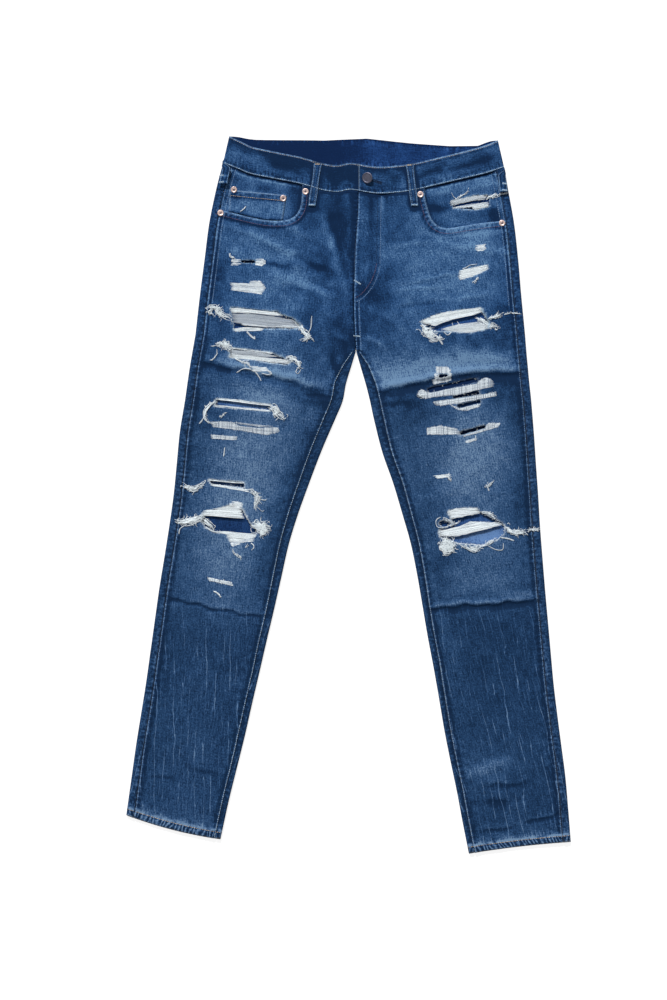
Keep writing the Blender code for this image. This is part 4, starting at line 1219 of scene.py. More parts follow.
def dye_group(colours):
    """Indigo from deep to faded, and past that the undyed cotton."""
    inputs = {"Fade": 0.3, "Bare": 0}
    group, (fade, bare), out = new_group("Indigo dye", inputs, ("Color",), "NodeSocketColor")
    ramp = add_node(group, "ShaderNodeValToRGB", {0: fade})
    stops = (
        colours.deep, (0.012, 0.045, 0.12), (0.026, 0.075, 0.178), (0.052, 0.114, 0.236),
        (0.092, 0.168, 0.3), colours.faded,
    )
    elements = ramp.color_ramp.elements
    while len(elements) < len(stops):
        elements.new(0.5)
    for number, (element, colour) in enumerate(zip(elements, stops)):
        element.position = number / (len(stops) - 1)
        element.color = (*colour, 1)
    mix(group, bare, Wire(group, ramp.outputs[0]), colours.weft).to(out, "Color")
    return group


def new_material(name, values):
    """A material with plain values on its shader, and the place on the object as a wire."""
    material = bpy.data.materials.new(name)
    material.use_nodes = True
    tree = material.node_tree
    shader = tree.nodes["Principled BSDF"]
    for key, value in values.items():
        shader.inputs[key].default_value = value
    place = Wire(tree, add_node(tree, "ShaderNodeTexCoord").outputs["Object"])
    return material, tree, shader, place


def dress(shader, colour, height, strength, distance):
    """Feeds a shader its colour, and its relief through a bump."""
    colour.to(shader, "Base Color")
    inputs = {"Height": height, "Strength": strength, "Distance": distance}
    bump = add_node(height.tree, "ShaderNodeBump", inputs)
    Wire(height.tree, bump.outputs[0]).to(shader, "Normal")


def denim_material(name, groups, contrast=1, extra=None):
    """Denim that reads its fade, edges and bare places from the cloth's own attributes."""
    material, tree, shader, place = new_material(name, {"Specular IOR Level": 0.12})
    cloth = Wire(tree, add_node(tree, "ShaderNodeUVMap", uv_map="cloth").outputs[0])
    # The twill, its yarns and the wear at the seams, at each place on the cloth.
    streaks = group_wires(tree, groups["streaks"], {"Vector": cloth})
    edges = {"Vector": cloth, "Edge": attribute(tree, "edge"), "Ropes": attribute(tree, "ropes")}
    wear = group_wires(tree, groups["wear"], edges)["Wear"]
    twill = {"Vector": cloth, "Pitch": cloth_settings().weave}
    weave = group_wires(tree, groups["twill"], twill)["Height"]
    # How faded it is, with the painted shade that the cloth's own attribute carries: that attribute, then
    # uneven yarns, hairlines, wear and ribs.
    fade = attribute(tree, "fade")
    if extra:
        fade = fade + attribute(tree, extra)
    fade = fade.math("MAXIMUM", -0.1)
    grain = (fade * (1.1 * contrast)).clamped() + 0.5 * contrast
    uneven = 0
    for output, amount in (("Warp", 1.2), ("Weft", 0.6), ("Cloud", 0.35), ("Speck", 1.5)):
        uneven = uneven + (streaks[output] - 0.5) * amount
    fade = fade + uneven * grain + streaks["Hairline"] * attribute(tree, "hair") + wear
    fade = (fade + (weave - 0.5) * 0.2).clamped()
    # Rubbed rims are bare in specks, and the hips are a little bluer.
    raw = attribute(tree, "raw")
    specks = (streaks["Speck"] - 0.5) * 2.4
    bared = (raw + specks * raw.math("MINIMUM", 0.5)).clamped()
    colour = group_wires(tree, groups["dye"], {"Fade": fade, "Bare": bared})["Color"]
    hips = {"Value": place.axes()[1], "From Min": 0.12, "From Max": 0.3}
    hips = Wire(tree, add_node(tree, "ShaderNodeMapRange", hips).outputs[0])
    colour = mix(tree, hips, colour, (0.84, 1.02, 1.13), "MULTIPLY")
    if extra:
        colour = mix(tree, 1, colour, (0.78, 0.9, 1.14), "MULTIPLY")
    (streaks["Speck"] * 0.2 + 0.76).to(shader, "Roughness")
    relief = weave * 0.45 + streaks["Warp"] * 1.4 + streaks["Speck"]
    dress(shader, colour, relief, 0.45, 0.0005)
    return material


def thread_material(name):
    """Cotton thread that takes its own colour, a little uneven."""
    values = {"Roughness": 0.9, "Specular IOR Level": 0.1}
    material, tree, shader, place = new_material(name, values)
    shade = (noise(place, 0.003, 3) * 0.5 + 0.72).clamped()
    colour = mix(tree, shade, (0.02, 0.04, 0.09), attribute(tree, "dye", "Color"))
    dress(shader, colour, noise(place, 0.0004), 0.3, 0.0002)
    return material


def tape_material(name):
    """Plain dark cloth for what lies under the fly."""
    material, tree, shader, place = new_material(name, {"Roughness": 0.85})
    grain = noise(place, (0.0012, 0.006, 0.0012), 3)
    colour = mix(tree, grain, (0.006, 0.022, 0.062), (0.02, 0.058, 0.14))
    dress(shader, colour, noise(place, 0.0006), 0.3, 0.0003)
    return material


def metal_material(name, colour, dull, roughness, patch=0.0022):
    """Cast metal, cloudy with tarnish and finely scratched."""
    material, tree, shader, place = new_material(name, {"Metallic": 0.85})
    cloudy = noise(place, patch, 4)
    tone = mix(tree, cloudy, [part * dull for part in colour], colour)
    (cloudy * 0.25 + roughness).to(shader, "Roughness")
    dress(shader, tone, noise(place, 0.0006, 3), 0.25, 0.0003)
    return material


MATERIALS = {}


def make_materials():
    colours = bpy.context.scene.jeans_colours
    groups = {
        "twill": twill_group(), "streaks": streak_group(), "wear": wear_group(),
        "dye": dye_group(colours),
    }
    MATERIALS.update(
        denim=denim_material("denim_face", groups),
        inside=denim_material("denim_wrong_side", groups, 0.7, "inner"),
        weft=thread_material("bare_weft"),
        sewing=thread_material("sewing_thread"),
        tape=tape_material("fly_tape"),
        copper=metal_material("rivet_copper", colours.copper, 0.8, 0.36),
        tarnish=metal_material("rivet_tarnish", (0.2, 0.17, 0.2), 0.6, 0.5),
        pewter=metal_material("button_pewter", colours.pewter, 0.4, 0.42, (0.0009, 0.006, 0.006)),
    )


# ---------------------------------------------------------------- cloth pieces


def edge_steps(start, end, cell):
    """Distances from start to end, close together at both ends. Start and end hold one per row."""
    fine = np.array(EDGE_STEPS)
    width = float(np.median(end - start))
    count = max(2, int((width - 2 * fine[-1]) / cell))
    share = np.linspace(0, 1, count + 1)[1:-1]
    reach = np.minimum(1, (end - start) / (2.2 * fine[-1]))[:, None]
    near = start[:, None] + fine * reach
    far = end[:, None] - fine[::-1] * reach
    middle = near[:, -1:] + (far[:, :1] - near[:, -1:]) * share
    return np.hstack([near, middle, far])


def side_values(fade, gaps, raw_edges, **others):
    """The attributes near edges: edge for ticks of wear, raw for rubbed white rims."""
    edge = sum(amount * bell(gap, reach) for gap, reach, amount in gaps)
    raw = sum(amount * bell(gap, 1.1) for gap, amount in raw_edges)
    return {"fade": fade, "edge": np.clip(edge, 0, 1), "raw": raw, **others}


def leg_values(fade, gaps, raw_edges, y, up, **others):
    """The attributes of a piece that runs down to the hem."""
    hair = 0.08 + 0.6 * smoothstep(-130, -260, y)
    ropes = 1.5 * (1 - smoothstep(9, 14, up))
    return side_values(fade, (*gaps, (up, 14, 0.5)), raw_edges, hair=hair, ropes=ropes, **others)


def tear(x, y, kept, piece):
    """Cuts a piece's openings. Returns the gap to their edges, and how white their rims are."""
    gap, rim = np.full(x.shape, 1e3), np.zeros(x.shape)
    for seed, (owner, white, outline) in enumerate(OPENINGS):
        if owner == piece:
            edge = torn(outline, seed)
            cut_out(x, y, kept, edge)
            away = to_line(x, y, closed(edge))[0]
            rim = np.where(away < gap, white, rim)
            gap = np.minimum(gap, away)
    return gap, rim * (0.7 + 0.6 * lattice_noise(x, y, 5, 61))


# From every point of a front panel: the gaps to its outseam, its inner edge, the pocket's mouth and
# the rips, how far along the mouth it is, how far below the waist and above the hem, and whether it
# is below the crotch.
FrontGaps = namedtuple("FrontGaps", "out inner mouth torn mouth_run down up below")


def fly_groove(y, gaps):
    """The groove in the right front where the edge of the fly covers it."""
    groove = bell(gaps.inner, 1.6 + 5.4 * smoothstep(300, 470, y)) * ~gaps.below
    return groove * (0.3 + 0.7 * smoothstep(270, 340, y))


def front_height(leg, x, y, gaps):
    """The creased front with its seams, hem, mouth, lifted rims and fly."""
    z = open_height(x, y) + seam_height(gaps.out, gaps.down, 1 + leg.side)
    z += seam_height(gaps.inner, gaps.down, 4 + leg.side) + hem_height(x, gaps.up) * (gaps.up < 40)
    z += 0.5 * (1 - smoothstep(8.5, 11, gaps.mouth)) - 0.45 * bell(gaps.mouth, 0.9)
    z += 0.25 * bell(gaps.mouth, 6) * wave(gaps.mouth_run, 8, 2)
    z += 0.4 * np.exp(-(gaps.torn / 2.5)) * lattice_noise(x, y, 4, 31)
    return z + (fly_height(x, y) if leg.side > 0 else -1.3 * fly_groove(y, gaps))


def front_fade_and_shade(leg, x, y, gaps):
    """How faded a front panel is at each point, with painted shade beside its loops, in its creases and
    grooves and under the waistband.
    """
    fade = top_fade_and_shade(x, y) + 0.25 * np.exp(-gaps.torn / 4) + hem_fade(x, y, gaps.up) - loop_shade(x, y)
    fade += seam_fade_and_shade(gaps.out, gaps.down, 1 + leg.side, 0.45)
    fade += seam_fade_and_shade(gaps.inner, gaps.down, 4 + leg.side, 0.5) * gaps.below
    # The mouth has a rubbed edge, puckers between its two rows of stitches and painted shade in the groove
    # past them, and there is a painted shadow right under the waistband too.
    fade += 0.7 * bell(gaps.mouth - 1, 1.4) * (0.8 + 0.7 * wave(gaps.mouth_run, 7, 4))
    fade += 0.55 * bell(gaps.mouth - 5.2, 2.6) * (wave(gaps.mouth_run, 7, 2) - 0.15)
    waist = gaps.down - gaps.down[0]
    fade -= 0.55 * bell(gaps.mouth - 10.8, 1.9) + 1.3 * bell(waist, 3.4)
    fade += 0.12 * bell(waist - 8, 6) * wave(x, 9, 3)
    # Down the hips, the two rows of stitches are rubbed and the cloth between them is dark.
    ticks = (0.75 + 0.5 * wave(gaps.down, 5, 6)) * ~gaps.below
    for row_gap, amount in ((2.2, 0.5), (5.2, -0.35), (8.4, 0.55)):
        fade += amount * bell(gaps.out - row_gap, 1.2) * ticks
    if leg.side < 0:
        # Painted shade in the groove where the fly's edge covers the right front.
        return fade - 0.9 * fly_groove(y, gaps)
    low = 1 - smoothstep(296, 316, y)
    fade += (0.8 * bell(gaps.inner - 1.3, 1.4) + 0.7 * bell(gaps.inner - 8.4, 1.6) * low) * ticks
    return fade + (fly_fade(x, y) - 0.35 * bell(gaps.inner - 4.8, 2) * ~gaps.below * low)


def make_front(leg):
    """A front panel, from the waist to the hem, with its mouth cut out and its rips torn."""
    cell = cloth_settings().cell / MM
    t = leg_rows(leg, FIRST_ROW, cell)
    start = np.full(len(t), OUTSEAM + GAP / 2)
    end = row_length(leg, t) - (inseam_at(leg, t) + GAP / 2) * (t >= CROTCH_ROW)
    distance = edge_steps(start, end, cell * 1.15)
    x, y = plan(leg, t, distance)
    kept = all_cells(x)
    cut_out(x, y, kept, mouth_corner(leg))
    torn_gap, rim = tear(x, y, kept, f"{leg.name}_front")
    mouth_gap, _, _, mouth_run = to_line(x, y, mouth_line(leg))
    down = down_leg(leg, t)[:, None]
    gaps = FrontGaps(
        distance - start[:, None], end[:, None] - distance, mouth_gap, torn_gap, mouth_run,
        down, down_leg(leg, len(leg.rows) - 1) - down, (t >= CROTCH_ROW)[:, None],
    )
    raw_edges = (
        (gaps.out, 0.02), (gaps.inner, 0.05 * gaps.below), (mouth_gap, 0.06), (gaps.up, 0.1),
        (torn_gap, rim),
    )
    worn = ((gap, 6, 0.4) for gap in (gaps.out, gaps.inner, mouth_gap))
    values = leg_values(front_fade_and_shade(leg, x, y, gaps), worn, raw_edges, y, gaps.up)
    cloth_piece(
        f"{leg.name}_front_panel", f"{leg.name}_front", (x, y, front_height(leg, x, y, gaps)),
        distance + (0.08 + 0.11 * leg.side) * down, down, values,
        leg.side < 0, kept, flat=(0.3, 1.14), rests_on=[f"{leg.name}_back"], area=0.235,
    )


class BackColumns:
    """The columns of a back panel, from its outer strip on top, round the underside, to its inner one.

    Each is x, y, z, u and the gaps to the outseam and to the inseam, with one value for every row.
    """

    def __init__(self, leg, t):
        self.leg, self.t = leg, t
        self.below = t >= CROTCH_ROW
        self.far = np.full(len(t), 99)
        self.length, self.back_length = row_length(leg, t), row_length(leg, t, back=True)
        self.inseam = inseam_at(leg, t)
        self.inner_fold = np.where(self.inseam > 2 * FOLD, FOLD, CROTCH_FOLD)

    def place(self, distance, back=False):
        x, y = plan(self.leg, self.t, distance[:, None], back)
        return x[:, 0], y[:, 0]

    def on_top(self, distance, gap, seed):
        """x, y and z of a column on top, at a gap from its seam."""
        x, y = self.place(distance)
        seam = seam_height(gap, down_leg(self.leg, self.t), seed + self.leg.side)
        return x, y, open_height(x, y) + seam

    def folded(self, distance, angle, rim):
        """x, y and z of a column in a fold, which goes up to the rim's height."""
        x, y = self.place(distance, angle < 0)
        low = under_z(y)
        return x, y, low + (rim - low) * 0.5 * (1 + math.sin(angle))

    def outer_side(self):
        """The strip on top along the outseam, and the outer fold."""
        columns = []
        for step in OUTER_STRIP:
            gap = np.full(len(self.t), step)
            columns.append((*self.on_top(OUTSEAM - GAP / 2 - gap, gap, 5), gap, gap, self.far))
        rim = columns[-1][2]
        for number, angle in enumerate(FOLD_ANGLES, start=1):
            u = np.full(len(self.t), OUTSEAM - FOLD + FOLD_STEP * number)
            inset = np.full(len(self.t), FOLD * (1 - math.cos(angle)))
            columns.append((*self.folded(inset, angle, rim), u, u, self.far))
        return columns

    def underside(self):
        """The flat back, as far as the inner fold, or to the centre seam at the hips."""
        end = self.back_length - self.inner_fold * self.below
        columns = []
        for part in np.linspace(0, 1, 44)[1:]:
            distance = FOLD + (end - FOLD) * part
            x, y = self.place(distance, True)
            flat = smoothstep(0, 12, distance - FOLD)
            flat *= smoothstep(0, 10, np.where(self.below, end - distance, 20))
            z = under_z(y) + (under_height(x, y) - under_z(y)) * flat
            gap = np.where(self.below, 99, end - distance)
            columns.append((x, y, z, BACK_U + distance, self.far, gap))
        return columns

    def inner_side(self):
        """The inner fold, and the strip on top along the inseam. Both are only below the crotch."""
        strip = []
        for part in INNER_STRIP:
            gap = (self.inseam - GAP / 2 - self.inner_fold) * part
            top = self.on_top(self.length - self.inseam + GAP / 2 + gap, gap, 8)
            strip.append((*top, BACK_U + self.length + 20 - gap, self.far, gap))
        fold = []
        for angle in FOLD_ANGLES[-2::-1]:
            base = self.back_length if angle < 0 else self.length
            inset = self.inner_fold * (1 - math.cos(angle))
            turned = self.folded(base - inset, angle, strip[0][2])
            u = BACK_U + self.length + 6 * (1 + math.sin(angle))
            fold.append((*turned, u, self.far, np.full(len(self.t), 12)))
        return fold + strip


def back_piece(leg, name, t, flat, area):
    """A back panel or a yoke, which comes round the sides onto the top."""
    columns = BackColumns(leg, t)
    outer, inner = columns.outer_side() + columns.underside(), columns.inner_side()
    x, y, z, u, out_gap, in_gap = (np.stack(part, axis=1) for part in zip(*outer, *inner))
    down = down_leg(leg, t)[:, None]
    up = down_leg(leg, len(leg.rows) - 1) - down
    column = np.arange(x.shape[1])
    on_top = (column < len(OUTER_STRIP)) | (column >= len(column) - len(INNER_STRIP))
    hem = hem_height(x, up) * (up < 40)
    z = np.where(on_top, z + hem, z + np.maximum(0, -hem) * 0.4)
    kept = all_cells(x)
    kept[~columns.below[:-1], len(outer) - 1:] = False
    fade = 0.17 + 0.05 * lattice_noise(x, y, 26, 12) + hem_fade(x, y, up)
    fade += np.where(on_top, 0, patches(x, y, UNDER_FADES))
    # Painted shade where the back strips meet the seams at the outseam and the inseam.
    fade += 0.24 * pucker(out_gap, down, 1) - 0.3 * bell(out_gap, 1.6)
    fade += 0.24 * pucker(in_gap, down, 2) - 0.5 * bell(in_gap, 3.5)
    values = leg_values(
        fade, ((out_gap, 9, 0.5), (in_gap, 9, 0.4)), ((out_gap, 0.03), (up, 0.25)), y, up,
        inner=patches(x, y, INSIDE_FADES_LIGHT_AND_SHADE),
    )
    cloth_piece(
        f"{leg.name}_{name}_panel", f"{leg.name}_{name}", (x, y, z), u, down, values,
        leg.side > 0, kept, flat=flat, rests_on=[], area=area,
    )


def make_back(leg):
    spacing = cloth_settings().cell / MM * 1.25
    back_piece(leg, "back", leg_rows(leg, YOKE_ROW + 0.003, spacing), (0.36, 1.09), 0.31)
    yoke = rows_between(leg, FIRST_ROW, YOKE_ROW - 0.003, spacing)
    back_piece(leg, "yoke", yoke, (0.26, 0.09), 0.0185)


def make_facing(leg):
    """The pocket facing, a cloth lower than the front, which runs on under the mouth."""
    cell = cloth_settings().cell / MM
    t = rows_between(leg, FIRST_ROW, 2, cell)
    start = np.full(len(t), OUTSEAM + GAP / 2)
    end = np.full(len(t), abs(leg.mouth[1][0] - leg.rows[0][0]) + 18)
    distance = edge_steps(start, end, cell)
    x, y = plan(leg, t, distance)
    kept = all_cells(x)
    torn_gap, rim = tear(x, y, kept, f"{leg.name}_facing")
    down = down_leg(leg, t)[:, None]
    out_gap, in_gap = distance - start[:, None], end[:, None] - distance
    waist_gap = down - down[0]
    mouth_gap = to_line(x, y, mouth_line(leg))[0]
    sag = fold_height(x, y, FACING_FOLDS)
    sunk = np.maximum(smoothstep(0, 9, out_gap), 1 - smoothstep(6, 16, mouth_gap))
    z = open_height(x, y) - FACING_SINK * sunk + sag
    # Painted shadow under the waistband, beside the loops and under the mouth's edge, and painted light and
    # shade on the folds: paler on their ridges, darker in their hollows.
    fade = 0.46 + 0.2 * lattice_noise(x, y, 14, 15) - 1.2 * bell(waist_gap, 3.2) - loop_shade(x, y)
    fade -= 0.5 * bell(mouth_gap, 4.5) * (1 - 0.8 * smoothstep(10, 24, in_gap))
    fade += 0.25 * np.exp(-torn_gap / 4) + 0.6 * sag + patches(x, y, FACING_FADES_AND_SHADES)
    fade += 0.5 * bell(waist_gap - 5.6, 1.1) * (0.8 + 0.4 * wave(distance, 9, 1))
    gaps = ((waist_gap, 8, 0.4), (out_gap, 8, 0.4))
    cloth_piece(
        f"{leg.name}_facing_cloth", f"{leg.name}_pocket_facing", (x, y, z), distance, down,
        side_values(fade, gaps, ((torn_gap, rim),), hair=0.05), leg.side < 0, kept,
        flat=(0.16, 0.11), rests_on=[f"{leg.name}_back"], area=0.0135 if leg.side < 0 else 0.0115,
    )


def make_coin_pocket():
    """The coin pocket: its turned top edge, its two sides, and its foot at the pocket's mouth."""
    down = np.linspace(0, 1, 26)[:, None]
    across = np.linspace(0, 1, 42)[None, :]
    sides = [
        [left + (right - left) * across for left, right in zip(*ends)] for ends in COIN_POCKET
    ]
    x, y = (top + (foot - top) * down for top, foot in zip(*sides))
    kept = all_cells(x)
    cut_out(x, y, kept, mouth_corner(RIGHT, -1), keep_inside=True)
    u, v = np.broadcast_arrays(across * 92, down * 54)
    side_gap = np.minimum(u, 92 - u)
    mouth_gap = to_line(x, y, mouth_line(RIGHT))[0]
    z = open_height(x, y) - FACING_SINK + 0.1 + cloth_settings().denim / MM
    z += 0.5 * (1 - smoothstep(10, 12, v)) - 0.4 * bell(v, 1) - 0.4 * bell(side_gap, 1)
    z += 0.3 * bell(v - 5, 4) * wave(u, 8, 1)
    fade = 0.56 + 0.16 * lattice_noise(x, y, 12, 16) - 0.3 * (1 - smoothstep(9, 12, v))
    # Painted shadow under the turned top's second row and under the mouth's edge.
    fade -= 0.5 * bell(v - 11.5, 1.6) + 0.4 * bell(mouth_gap, 4)
    fade += 0.2 * bell(v - 5, 4) * wave(u, 7, 1)
    fade += 0.4 * bell(v - 0.8, 1.2) + 0.3 * bell(side_gap - 1, 1.2)
    values = side_values(
        fade, ((v, 9, 0.4), (side_gap, 5, 0.4)), ((v, 0.15), (side_gap, 0.1)), hair=0.05
    )
    cloth_piece(
        "coin_pocket_cloth", "coin_pocket", (x, y, z), u, v, values, True, kept,
        flat=(0.105, 0.075), rests_on=["right_facing_cloth"], area=0.0052,
    )


def band_half(leg, cell):
    """Stations of half the waistband, from the centre front round the fold to the centre back."""
    length, back_length = (float(row_length(leg, 0, back)[0]) for back in (False, True))
    stations = [
        (distance, None, False)
        for distance in np.linspace(length, FOLD, int((length - FOLD) / cell))
    ]
    for angle in FOLD_ANGLES:
        reach = BAND_FOLD if angle >= 0 else FOLD
        level = SEAT_LIFT + (BAND_TOP - SEAT_LIFT) / 2 * (1 + math.sin(angle))
        stations.append((reach * (1 - math.cos(angle)), level, angle < 0))
    for distance in np.linspace(FOLD, back_length, int((back_length - FOLD) / cell))[1:]:
        stations.append((distance, SEAT_LIFT, True))
    rows = []
    for distance, level, back in stations:
        x, y = (float(value[0, 0]) for value in plan(leg, 0, [[distance]], back))
        if level is None and x > CENTRE_X:
            level = BAND_TOP + FLAP_RISE * (1 - smoothstep(*FLAP_RAMP, x))
        elif level is None:
            level = BAND_TOP - UNDERLAP_SINK * smoothstep(*UNDERLAP_RAMP, x)
        lean = BAND_LEAN * -leg.side * max(0, 1 - distance / 110) ** 2
        top = y + BAND_HEIGHT
        if back:
            back_x, _, back_top = np.array(BACK_BAND).T
            side_top = leg.rows[0][1] + BAND_HEIGHT
            high = np.interp(x, back_x, back_top)
            top = side_top + (high - side_top) * smoothstep(0, 40, distance)
        rows.append((x, y, x + lean, top, level, float(back)))
    return np.array(rows)


def underlap_stations():
    """The end of the waistband that lies under the buttonhole's end."""
    x = np.linspace(*UNDERLAP, 14)
    low = np.interp(x, *waist_seam().T)
    level = np.full(len(x), BAND_TOP - UNDERLAP_SINK)
    return np.column_stack([x, low + 2, x, low + BAND_HEIGHT, level, 0 * x])


def make_waistband():
    """The waistband, from its end under the buttonhole's end all the way round."""
    settings = cloth_settings()
    cell = settings.cell / MM * 1.2
    stations = np.vstack([underlap_stations(), band_half(RIGHT, cell), band_half(LEFT, cell)[-2::-1]])
    seam_x, seam_y, top_x, top_y, level, back = (stations[:, i : i + 1] for i in range(6))
    up = np.array(BAND_STEPS)[None, :]
    high = BAND_HEIGHT - up
    share = up / BAND_HEIGHT
    x, y = seam_x + (top_x - seam_x) * share, seam_y + (top_y - seam_y) * share
    run = run_along(stations[:, :2])[:, None] + 0 * up
    relief = 0.35 * bell(up - 6, 6) * wave(run, 9, 2) - 0.5 * bell(np.minimum(up, high), 0.9)
    relief += 0.2 * bell(high - 4, 4) * wave(run, 7, 5)
    relief += fold_height(x, y, BAND_FOLDS) + 0.25 * lattice_noise(x, y, 18, 6)
    on_back = (back > 0.5) | (level < 4.6)
    z = level + np.where(on_back, 0.15 - 0.3 * relief.clip(-0.5, 0), relief)
    fade = 0.13 + 0.1 * smoothstep(40, 140, x) + 0.18 * lattice_noise(0.6 * x, y, 11, 18)
    # Paler on its raised places, where it wears, with painted shade in its hollows, folds and under its
    # lapping end.
    fade += 0.36 * (relief + 0.1) + patches(x, y, BAND_FADES_AND_SHADES)
    fade += 0.65 * bell(high - 0.9, 1.1) + 0.5 * bell(up - 1.4, 1.3)
    fade -= 0.2 * bell(high - 4.5, 2) + 0.15 * bell(up - 5, 2)
    # Painted shadow beside the loops, and beside the end of the band that laps over at the centre.
    fade -= loop_shade(x, y) + 0.6 * bell(x - CENTRE_X + 2.5, 2)
    fade += 0.16 * bell(up - 9, 9) * wave(run, 6.5, 8)
    ticks = np.maximum(0, wave(run, 7.5, 3)) ** 3
    inner = 0.38 * smoothstep(-60, 60, x) - 0.4 + 0.5 * ticks * bell(high - 5, 4)
    # Painted shade along the top edge on the inside of the band.
    inner -= 0.5 * bell(high, 2.2)
    end_gap = np.minimum(run, run[-1:] - run)
    values = side_values(
        np.where(on_back, 0.2 + 0.08 * lattice_noise(x, y, 14, 19), fade),
        ((up, 9, 0.5), (high, 5, 0.4)), ((high, 0.08 * ~on_back), (up, 0.04), (end_gap, 0.1)),
        hair=0.05, inner=inner * on_back,
    )
    cloth_piece(
        "waistband_cloth", "waistband", (x, y, z), up, run, values, wall=settings.band,
        flat=(0.09, 0.98), rests_on=["right_front", "left_front"], area=0.045,
    )


def loop_grid(steps, top_x, top_y, bottom_x, bottom_y):
    """How far down a belt loop each row is, its x and y, and its cloth coordinates."""
    share = np.linspace(0, 1, steps)[:, None]
    u, v = np.broadcast_arrays(LOOP_COLUMNS, share * 70)
    return share, top_x + (bottom_x - top_x) * share, top_y + (bottom_y - top_y) * share + 0 * u, u, v


def loop_piece(name, grid, u, v, fade, flip, wall):
    gap = 6.5 - np.abs(u)
    cloth_piece(
        f"{name}_cloth", name, grid, u, v,
        side_values(fade, ((gap, 3, 0.4),), ((gap, 0.12),), hair=0), flip, wall=wall,
        flat=(0.034, 0.085), rests_on=["waistband_cloth"], area=0.00125,
    )


def make_front_loop(ground, name, *ends):
    """A belt loop over the waistband, its head turned under the band's top edge."""
    share, centre_x, y, u, v = loop_grid(40, *ends)
    x = centre_x + LOOP_COLUMNS * (0.93 + 0.07 * np.cos(share * 9))
    level = ground.tops(x, y).max(axis=1)
    padded = np.concatenate([level[:1], level[:1], level, level[-1:], level[-1:]])
    soft = np.convolve(padded, (0.1, 0.2, 0.4, 0.2, 0.1), mode="valid")
    foot = bell(share - 0.965, 0.035)
    z = np.maximum(soft, level)[:, None] + 1.5 + np.sin(math.pi * np.clip(share * 1.25, 0, 1))
    z = z + LOOP_RELIEF * (1 - 0.6 * foot) + 0.9 * foot
    z -= 1.9 * smoothstep(0.975, 1, share) + 1.6 * (1 - smoothstep(0, 0.04, share))
    fade = LOOP_FADE_AND_SHADE * (0.85 + 0.4 * wave(v, 5.5, 1)) + 0.1 * wave(v, 17, ends[0])
    # Paler at the curled foot, with painted shade in the crease above it.
    fade += 0.75 * foot - 0.6 * bell(share - 0.9, 0.025)
    loop_piece(name, (x, y, z), u, v, fade, True, 1.3 * MM)


def side_edge(side, y):
    """The x of the outer fold at the waist, at each y."""
    leg = LEFT if side > 0 else RIGHT
    edge_x, edge_y = plan(leg, np.linspace(0, 2, 30), np.zeros((30, 1)))
    return np.interp(y, edge_y[::-1, 0], edge_x[::-1, 0])


def make_back_loop(ground, name, top_x, *ends):
    """A belt loop on the back, flat under the band. One at a side ends round the fold, on top."""
    share, x, y, u, v = loop_grid(44, top_x, *ends)
    x = x + LOOP_COLUMNS
    z = 0.12 - 0.3 * LOOP_RELIEF + 0 * share
    fade = LOOP_FADE_AND_SHADE + 0 * share
    if abs(top_x) > SIDE_LOOP:
        side = np.sign(top_x)
        edge = side_edge(side, y)
        run = side * x - side * edge - 4 + SIDE_WRAP * smoothstep(0.4, 0.66, share)
        turn = np.clip(run / 7, -math.pi / 2, math.pi / 2)
        x = edge - side * (7 - 7.8 * np.cos(turn) + np.maximum(0, np.abs(run) - 11))
        rise = 0.5 * (1 + np.sin(turn))
        z += (np.clip(ground.tops(x, y), 13, 16.5) + 1 + LOOP_RELIEF * 0.9) * rise
        tacks = bell(share - 0.97, 0.03) + bell(share - 0.82, 0.025)
        fade += rise * (0.9 * tacks * (0.6 + 0.8 * wave(2 * x, 3.6, 1)) - 0.1)
    loop_piece(name, (x, y, z), u, v, fade, False, 1 * MM)


def pocket_grid(centre_x, tilt, inset=0):
    """A patch pocket that comes to a point: x, y across its columns and down its rows."""
    across = np.linspace(-1, 1, 48)[None, :]
    down = np.linspace(0, 1, 44)[:, None]
    top_y = POCKET_TOP - inset + tilt * across
    foot_y = POCKET_FOOT + inset + np.abs(across) * POCKET_POINT + tilt * across
    taper = POCKET_TAPER * np.minimum(1, down * 1.15)
    x = centre_x + across * (POCKET_HALF_WIDTH - inset - taper)
    return x, top_y + (foot_y - top_y) * down, across + 0 * down, down + 0 * across


def make_back_pocket(side, centre_x, tilt):
    x, y, across, down = pocket_grid(centre_x, tilt)
    gap = np.minimum(np.minimum((1 - np.abs(across)) * 68, down * 140), (1 - down) * 128)
    z = 0.1 + 0.5 * bell(gap, 0.8) + 0.35 * bell(gap - 2.2, 0.7) + 0.35 * bell(gap - 8.4, 0.7)
    z += 0.12 * (1 + lattice_noise(x, y, 20, 14))
    fade = 0.36 + 0.24 * bell(across, 0.7) * bell(down - 0.4, 0.4)
    cloth_piece(
        f"{side}_back_pocket_cloth", f"{side}_back_pocket", (x, y, z), across * 68, down * 140,
        side_values(fade, ((gap, 7, 0.6),), ((gap, 0.12),), hair=0), wall=1.2 * MM,
        flat=(0.165, 0.17), rests_on=[f"{side}_back_panel"], area=0.0205,
    )


# ---------------------------------------------------------------- threads on the cloth


class Ground:
    """The cloth's surface, found by dropping a line on it from above or below."""

    def __init__(self, *more):
        names = [f"{leg.name}_{part}" for leg in LEGS for part in LEG_PIECES]
        names += ["coin_pocket_cloth", "waistband_cloth", *more]
        graph = bpy.context.evaluated_depsgraph_get()
        self.trees = [BVHTree.FromObject(bpy.data.objects[name], graph) for name in names]

    def hit(self, x, y, start, down):
        point = Vector(((x + PLAN_SHIFT[0]) * MM, (y + PLAN_SHIFT[1]) * MM, start))
        found = [tree.ray_cast(point, Vector((0, 0, down)))[0] for tree in self.trees]
        return [place.z / MM for place in found if place is not None]

    def top(self, x, y):
        return max(self.hit(x, y, 0.1, -1), default=0)

    def foot(self, x, y):
        return min(self.hit(x, y, -0.1, 1), default=0)

    def tops(self, x, y):
        return np.array([[self.top(*place) for place in zip(*row)] for row in zip(x, y)])


